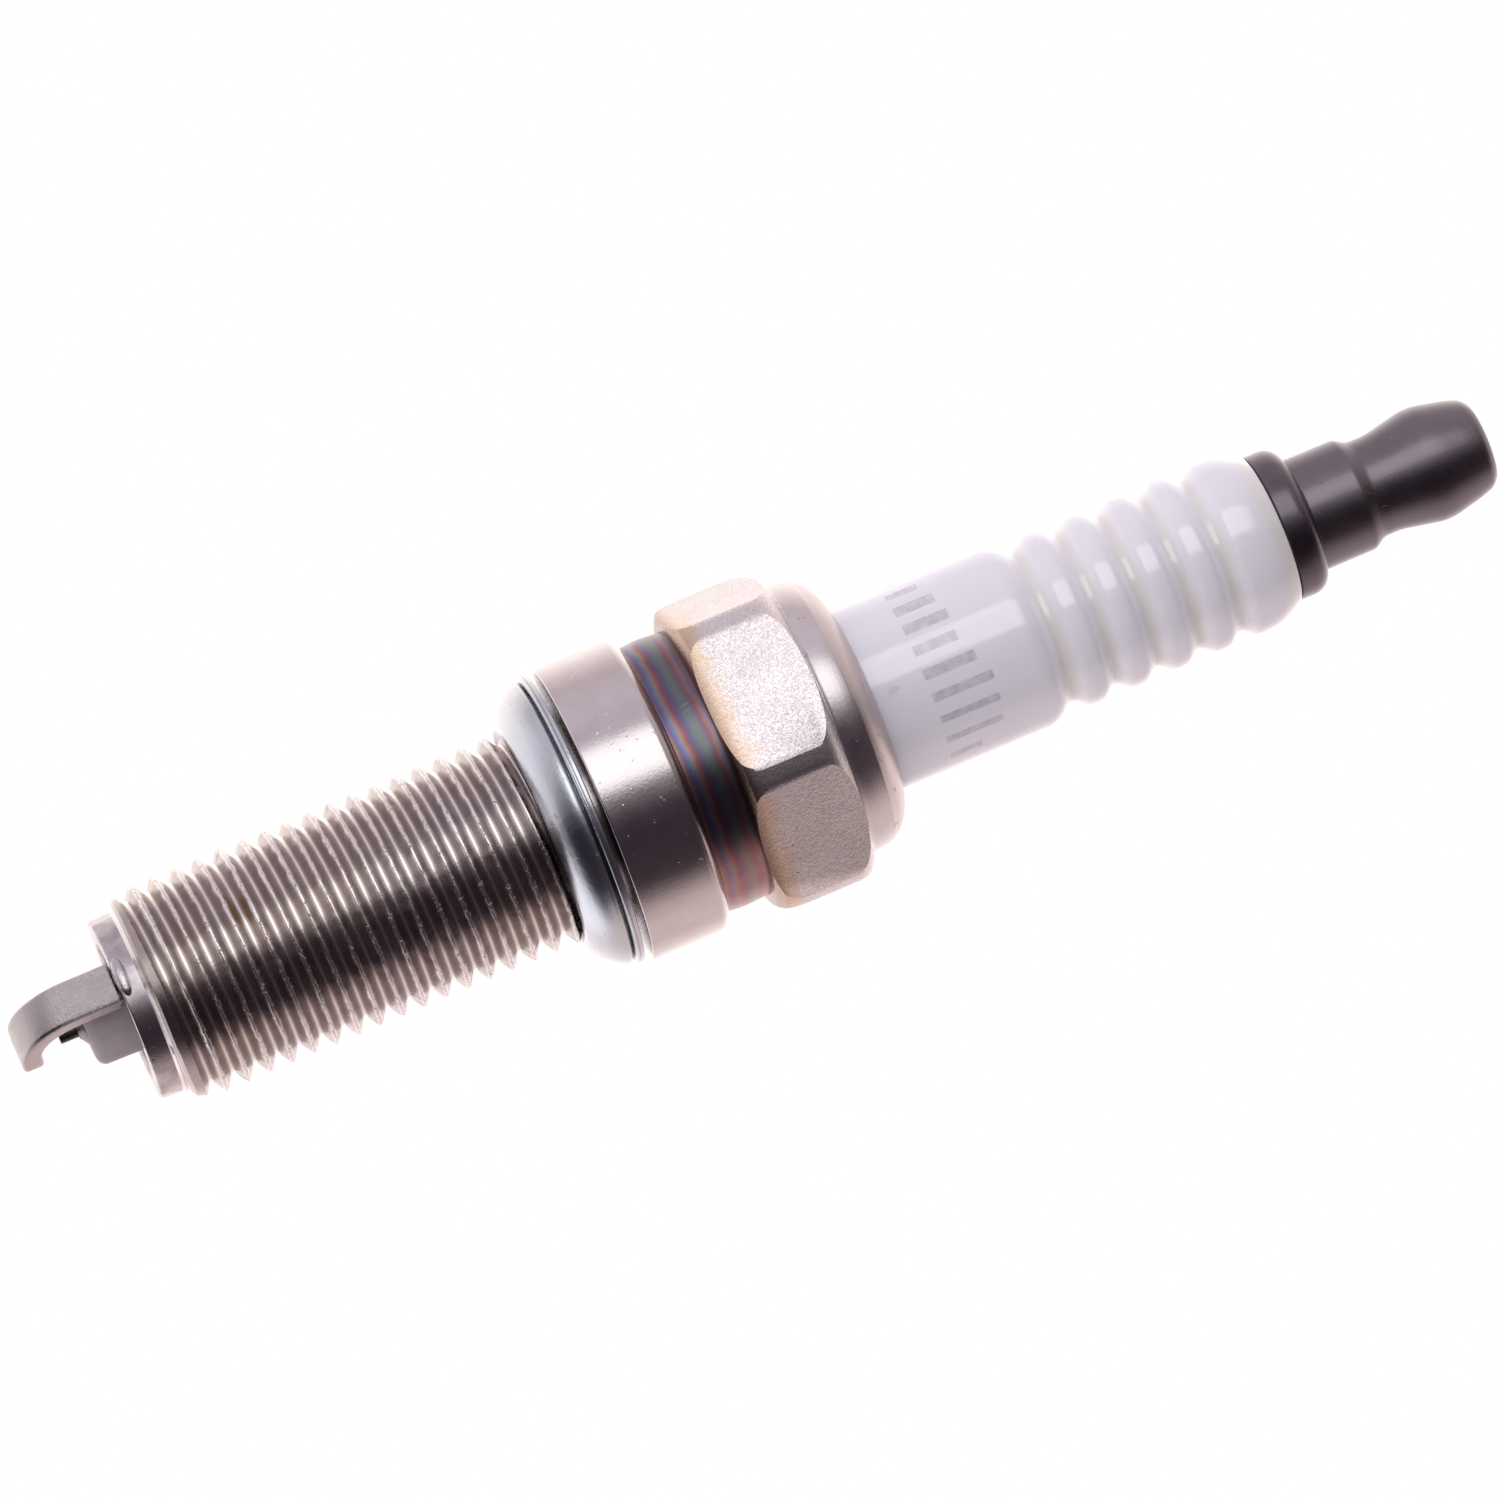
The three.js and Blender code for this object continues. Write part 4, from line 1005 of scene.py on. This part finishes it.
terminal = turn("terminal_fine", [
    (0, STUD_TAIL),
    (TAIL_RADIUS, STUD_TAIL),
    (TAIL_RADIUS, STUD_TAIL + TAIL_LENGTH),
    (ROD_RADIUS, STUD_TAIL + TAIL_LENGTH),
    (ROD_RADIUS, FLANGE),
    (FLANGE_RADIUS, FLANGE, 0.1),
    (FLANGE_RADIUS, FLANGE + 1.0, 0.2),
    (3.86, FLANGE + 1.52, 0.3),
    (3.4, FLANGE + 1.76, 0.2),
    (3.12, FLANGE + 1.8, 0.06),
    (3.11, FLANGE + 4.75, 0.14),
    (2.7, FLANGE + 5.4, 0.2),
    (2.67, FLANGE + 6.4, 0.4),
    (2.98, FLANGE + 7.9, 0.6),
    (3.16, FLANGE + 8.8, 0.4),
    (3.12, FLANGE + 9.5, 0.4),
    (2.74, TERMINAL_END - 1.1, 0.4),
    (2.5, TERMINAL_END - 0.42, 0.2),
    (2.1, TERMINAL_END - 0.04, 0.2),
    (1.3, TERMINAL_END, 0.1),
    (0, TERMINAL_END - 0.02),
])
finish_piece(terminal, "plug", "terminal_steel", [terminal_steel], "terminal_stud", smooth=40)

# %% [markdown]
# ## Electrodes
#
# Only the cone of the centre electrode shows, with the fine iridium pin welded in it. The small swelling
# round the pin is the ring of metal that the laser melted.

# %% Centre electrode and pin
PIN_RADIUS = 0.35
PIN_SOCKET = 0.37
SOCKET_DEPTH = 0.5
CORE_BORE = 0.58
CORE_END = NOSE + 1.6

electrode = turn("center_electrode_fine", [
    (0, ELECTRODE + SOCKET_DEPTH),
    (PIN_SOCKET, ELECTRODE + SOCKET_DEPTH),
    (PIN_SOCKET, ELECTRODE),
    (0.46, ELECTRODE, 0.03),
    (0.6, ELECTRODE + 0.12, 0.05),
    (ELECTRODE_RADIUS, NOSE, 0.05),
    (ELECTRODE_RADIUS, HEAD_LOW - 0.5),
    (HEAD_RADIUS, HEAD_LOW),
    (HEAD_RADIUS, ELECTRODE_TOP),
    (CORE_BORE, ELECTRODE_TOP),
    (CORE_BORE, CORE_END),
    (0, CORE_END),
])
finish_piece(electrode, "plug", "nickel_alloy", [tip_alloy], "center_electrode")
pin = turn("iridium_pin_fine", [
    (0, PIN),
    (PIN_RADIUS, PIN, 0.04),
    (PIN_RADIUS, ELECTRODE - 0.16, 0.05),
    (PIN_RADIUS + 0.015, ELECTRODE - 0.04, 0.02),
    (PIN_RADIUS, PIN_TOP),
    (0, PIN_TOP),
])
finish_piece(pin, "plug", "iridium", [pin_metal], "iridium_pin")

# %% [markdown]
# The ground electrode is a length of flat nickel-alloy wire, welded upright on the rim and bent over the
# pin. A box is extruded downwards, its lower face is spun round the bend, and the leg is pulled out to the
# axis. A bevel gives the rolled wire its round edges. The weld leaves a lens of smooth metal on the shell
# at its root.

# %% Ground electrode
STRAP_WIDTH = 2.3
STRAP_THICKNESS = 1.15
STRAP_OUT = 4.6
BEND = 3.5
STRAP_TURN = math.radians(1.9)
STRAP_EDGE = 0.24
WELD_SIZE = (1.22, 0.46, 0.44)
WELD_OUT = 4.72

bend_height = STRAP + BEND
start_clean()
bpy.ops.mesh.primitive_cube_add(
    size=1,
    location=(0, (STRAP_THICKNESS / 2 - STRAP_OUT) * MM, (STRAP_FOOT + bend_height) / 2 * MM),
    scale=(STRAP_WIDTH * MM, STRAP_THICKNESS * MM, (STRAP_FOOT - bend_height) * MM))
strap = bpy.context.object
strap.name = strap.data.name = "ground_electrode_fine"
bpy.ops.object.transform_apply(location=True, rotation=True, scale=True)
pick("FACE", lambda face: face.normal.z < -0.9)
bpy.ops.mesh.spin(steps=16, angle=math.pi / 2, center=(0, (BEND - STRAP_OUT) * MM, bend_height * MM),
                  axis=(-1, 0, 0))
bpy.ops.mesh.extrude_region_move(TRANSFORM_OT_translate={"value": (0, (STRAP_OUT - BEND) * MM, 0)})
swing(STRAP_TURN)
close_and_face_out()
apply_modifier(strap, "BEVEL", width=STRAP_EDGE * MM, segments=5, limit_method="ANGLE",
               angle_limit=math.radians(40))
print("strap from", [round(value / MM, 2) for value in strap.bound_box[0]],
      "to", [round(value / MM, 2) for value in strap.bound_box[6]])

start_clean()
bpy.ops.mesh.primitive_uv_sphere_add(segments=48, ring_count=24, radius=1,
                                     location=(0, -WELD_OUT * MM, (RIM + 0.34) * MM),
                                     scale=tuple(size * MM for size in WELD_SIZE))
weld = bpy.context.object
bpy.ops.object.transform_apply(location=True, rotation=True, scale=True)
bpy.ops.object.mode_set(mode="EDIT")
swing(STRAP_TURN)
bpy.ops.object.mode_set(mode="OBJECT")
combine(strap, weld, "UNION")
finish_piece(strap, "plug", "nickel_alloy", [strap_alloy], "ground_electrode", smooth=35)

# %% [markdown]
# ## Stage and light
#
# Polished metal shows the room more than itself, so the light is drawn as a studio round the plug: a long
# soft box above its front, dark felt below that, and white card everywhere else. It is a world shader that
# looks up colours by the angle round the plug: once for level directions, once for those steeply up and
# once for those steeply down, where the flanks of a thread look. The camera sees plain white behind the
# plug, and a pale floor below it.

# %% Studio world
LIGHT_SCALE = 4.0
BRIGHTNESS = 1.3

world = bpy.data.worlds.new("studio")
bpy.context.scene.world = world
world.use_nodes = True
tree = world.node_tree
direction = tree.nodes.new("ShaderNodeTexCoord").outputs["Generated"]
x, y, z = add_node(tree, "ShaderNodeSeparateXYZ", {0: direction}).outputs
toward = add_up(tree, (x, math.sin(AZIMUTH)), (y, -math.cos(AZIMUTH)))
aside = add_up(tree, (x, -math.cos(AZIMUTH)), (y, -math.sin(AZIMUTH)))
bearing = calculate(tree, "DEGREES", calculate(tree, "ARCTAN2", aside, toward))


def studio_bands(stops):
    """A ring of colours round the plug, by bearing in degrees from the camera's side."""
    scaled = [(angle, tuple(value / LIGHT_SCALE for value in color)) for angle, color in stops]
    return color_steps(tree, bearing, scaled, -180, 180)


level_light = studio_bands([
    (-180, (1.25, 1.15, 1.12)),
    (-155, (1.0, 0.87, 0.87)),
    (-128, (0.72, 0.605, 0.61)),
    (-106, (0.74, 0.615, 0.61)),
    (-89, (0.58, 0.475, 0.47)),
    (-76, (0.24, 0.19, 0.2)),
    (-66, (0.05, 0.037, 0.047)),
    (-30, (0.04, 0.03, 0.04)),
    (-12, (0.05, 0.04, 0.052)),
    (-3, (0.15, 0.125, 0.145)),
    (8, (0.32, 0.28, 0.31)),
    (12, (1.5, 1.49, 1.53)),
    (43, (1.5, 1.49, 1.53)),
    (47, (0.56, 0.52, 0.59)),
    (60, (0.6, 0.55, 0.63)),
    (80, (0.66, 0.6, 0.67)),
    (106, (0.6, 0.535, 0.58)),
    (128, (0.96, 0.86, 0.875)),
    (145, (1.22, 1.12, 1.1)),
    (180, (1.25, 1.15, 1.12)),
])
light_above = studio_bands([
    (-180, (1.05, 0.93, 0.93)),
    (-132, (0.88, 0.75, 0.74)),
    (-108, (0.48, 0.39, 0.385)),
    (-88, (0.09, 0.07, 0.075)),
    (-34, (0.035, 0.025, 0.035)),
    (-17, (0.055, 0.045, 0.055)),
    (0, (0.15, 0.13, 0.135)),
    (17, (0.28, 0.25, 0.25)),
    (34, (0.42, 0.37, 0.36)),
    (50, (0.46, 0.41, 0.4)),
    (75, (0.54, 0.48, 0.49)),
    (110, (0.67, 0.59, 0.6)),
    (180, (1.05, 0.93, 0.93)),
])
light_below = studio_bands([
    (-180, (1.3, 1.24, 1.28)),
    (-135, (1.25, 1.19, 1.23)),
    (-117, (1.0, 0.94, 0.99)),
    (-104, (0.42, 0.38, 0.42)),
    (-90, (0.1, 0.09, 0.11)),
    (-74, (0.03, 0.026, 0.04)),
    (-10, (0.02, 0.017, 0.03)),
    (8, (0.1, 0.09, 0.11)),
    (30, (0.3, 0.28, 0.32)),
    (60, (0.58, 0.56, 0.62)),
    (100, (0.82, 0.79, 0.85)),
    (130, (1.05, 1.0, 1.05)),
    (180, (1.1, 1.05, 1.08)),
])
light = blend(tree, between(tree, z, 0.45, 0.75), level_light, light_above)
light = blend(tree, between(tree, z, -0.45, -0.7, 1, 0), light_below, light)
room = add_node(tree, "ShaderNodeBackground", {"Color": light, "Strength": LIGHT_SCALE * BRIGHTNESS})
white = add_node(tree, "ShaderNodeBackground", {"Color": (1, 1, 1, 1), "Strength": 1})
from_camera = tree.nodes.new("ShaderNodeLightPath").outputs["Is Camera Ray"]
seen = add_node(tree, "ShaderNodeMixShader", {0: from_camera, 1: room.outputs[0], 2: white.outputs[0]})
tree.links.new(seen.outputs[0], tree.nodes["World Output"].inputs[0])
bpy.context.scene.view_settings.view_transform = "Standard"
print("studio of", len(tree.nodes), "nodes")

# %% Pale floor
FLOOR = -125
FLOOR_RADIUS = 3000

start_clean()
bpy.ops.mesh.primitive_circle_add(vertices=96, radius=FLOOR_RADIUS * MM, fill_type="NGON",
                                  location=(0, 0, FLOOR * MM))
floor = bpy.context.object
floor.name = "floor"
bpy.ops.object.transform_apply(location=True, rotation=True, scale=True)
floor_paint, tree, shader = start_material("floor_paint", Metallic=0, Emission_Color=(1, 1, 1, 1),
                                           Emission_Strength=0.15)
patches = cloudy(tree, 60, seed=60, softness=0.4)
set_surface(tree, shader, blend(tree, patches, (0.86, 0.86, 0.86), (0.88, 0.88, 0.88)),
            add_up(tree, (patches, 0.1), (1.0, 0.8)))
floor.data.materials.append(floor_paint)
floor.visible_glossy = False
print("floor at", FLOOR, "mm")
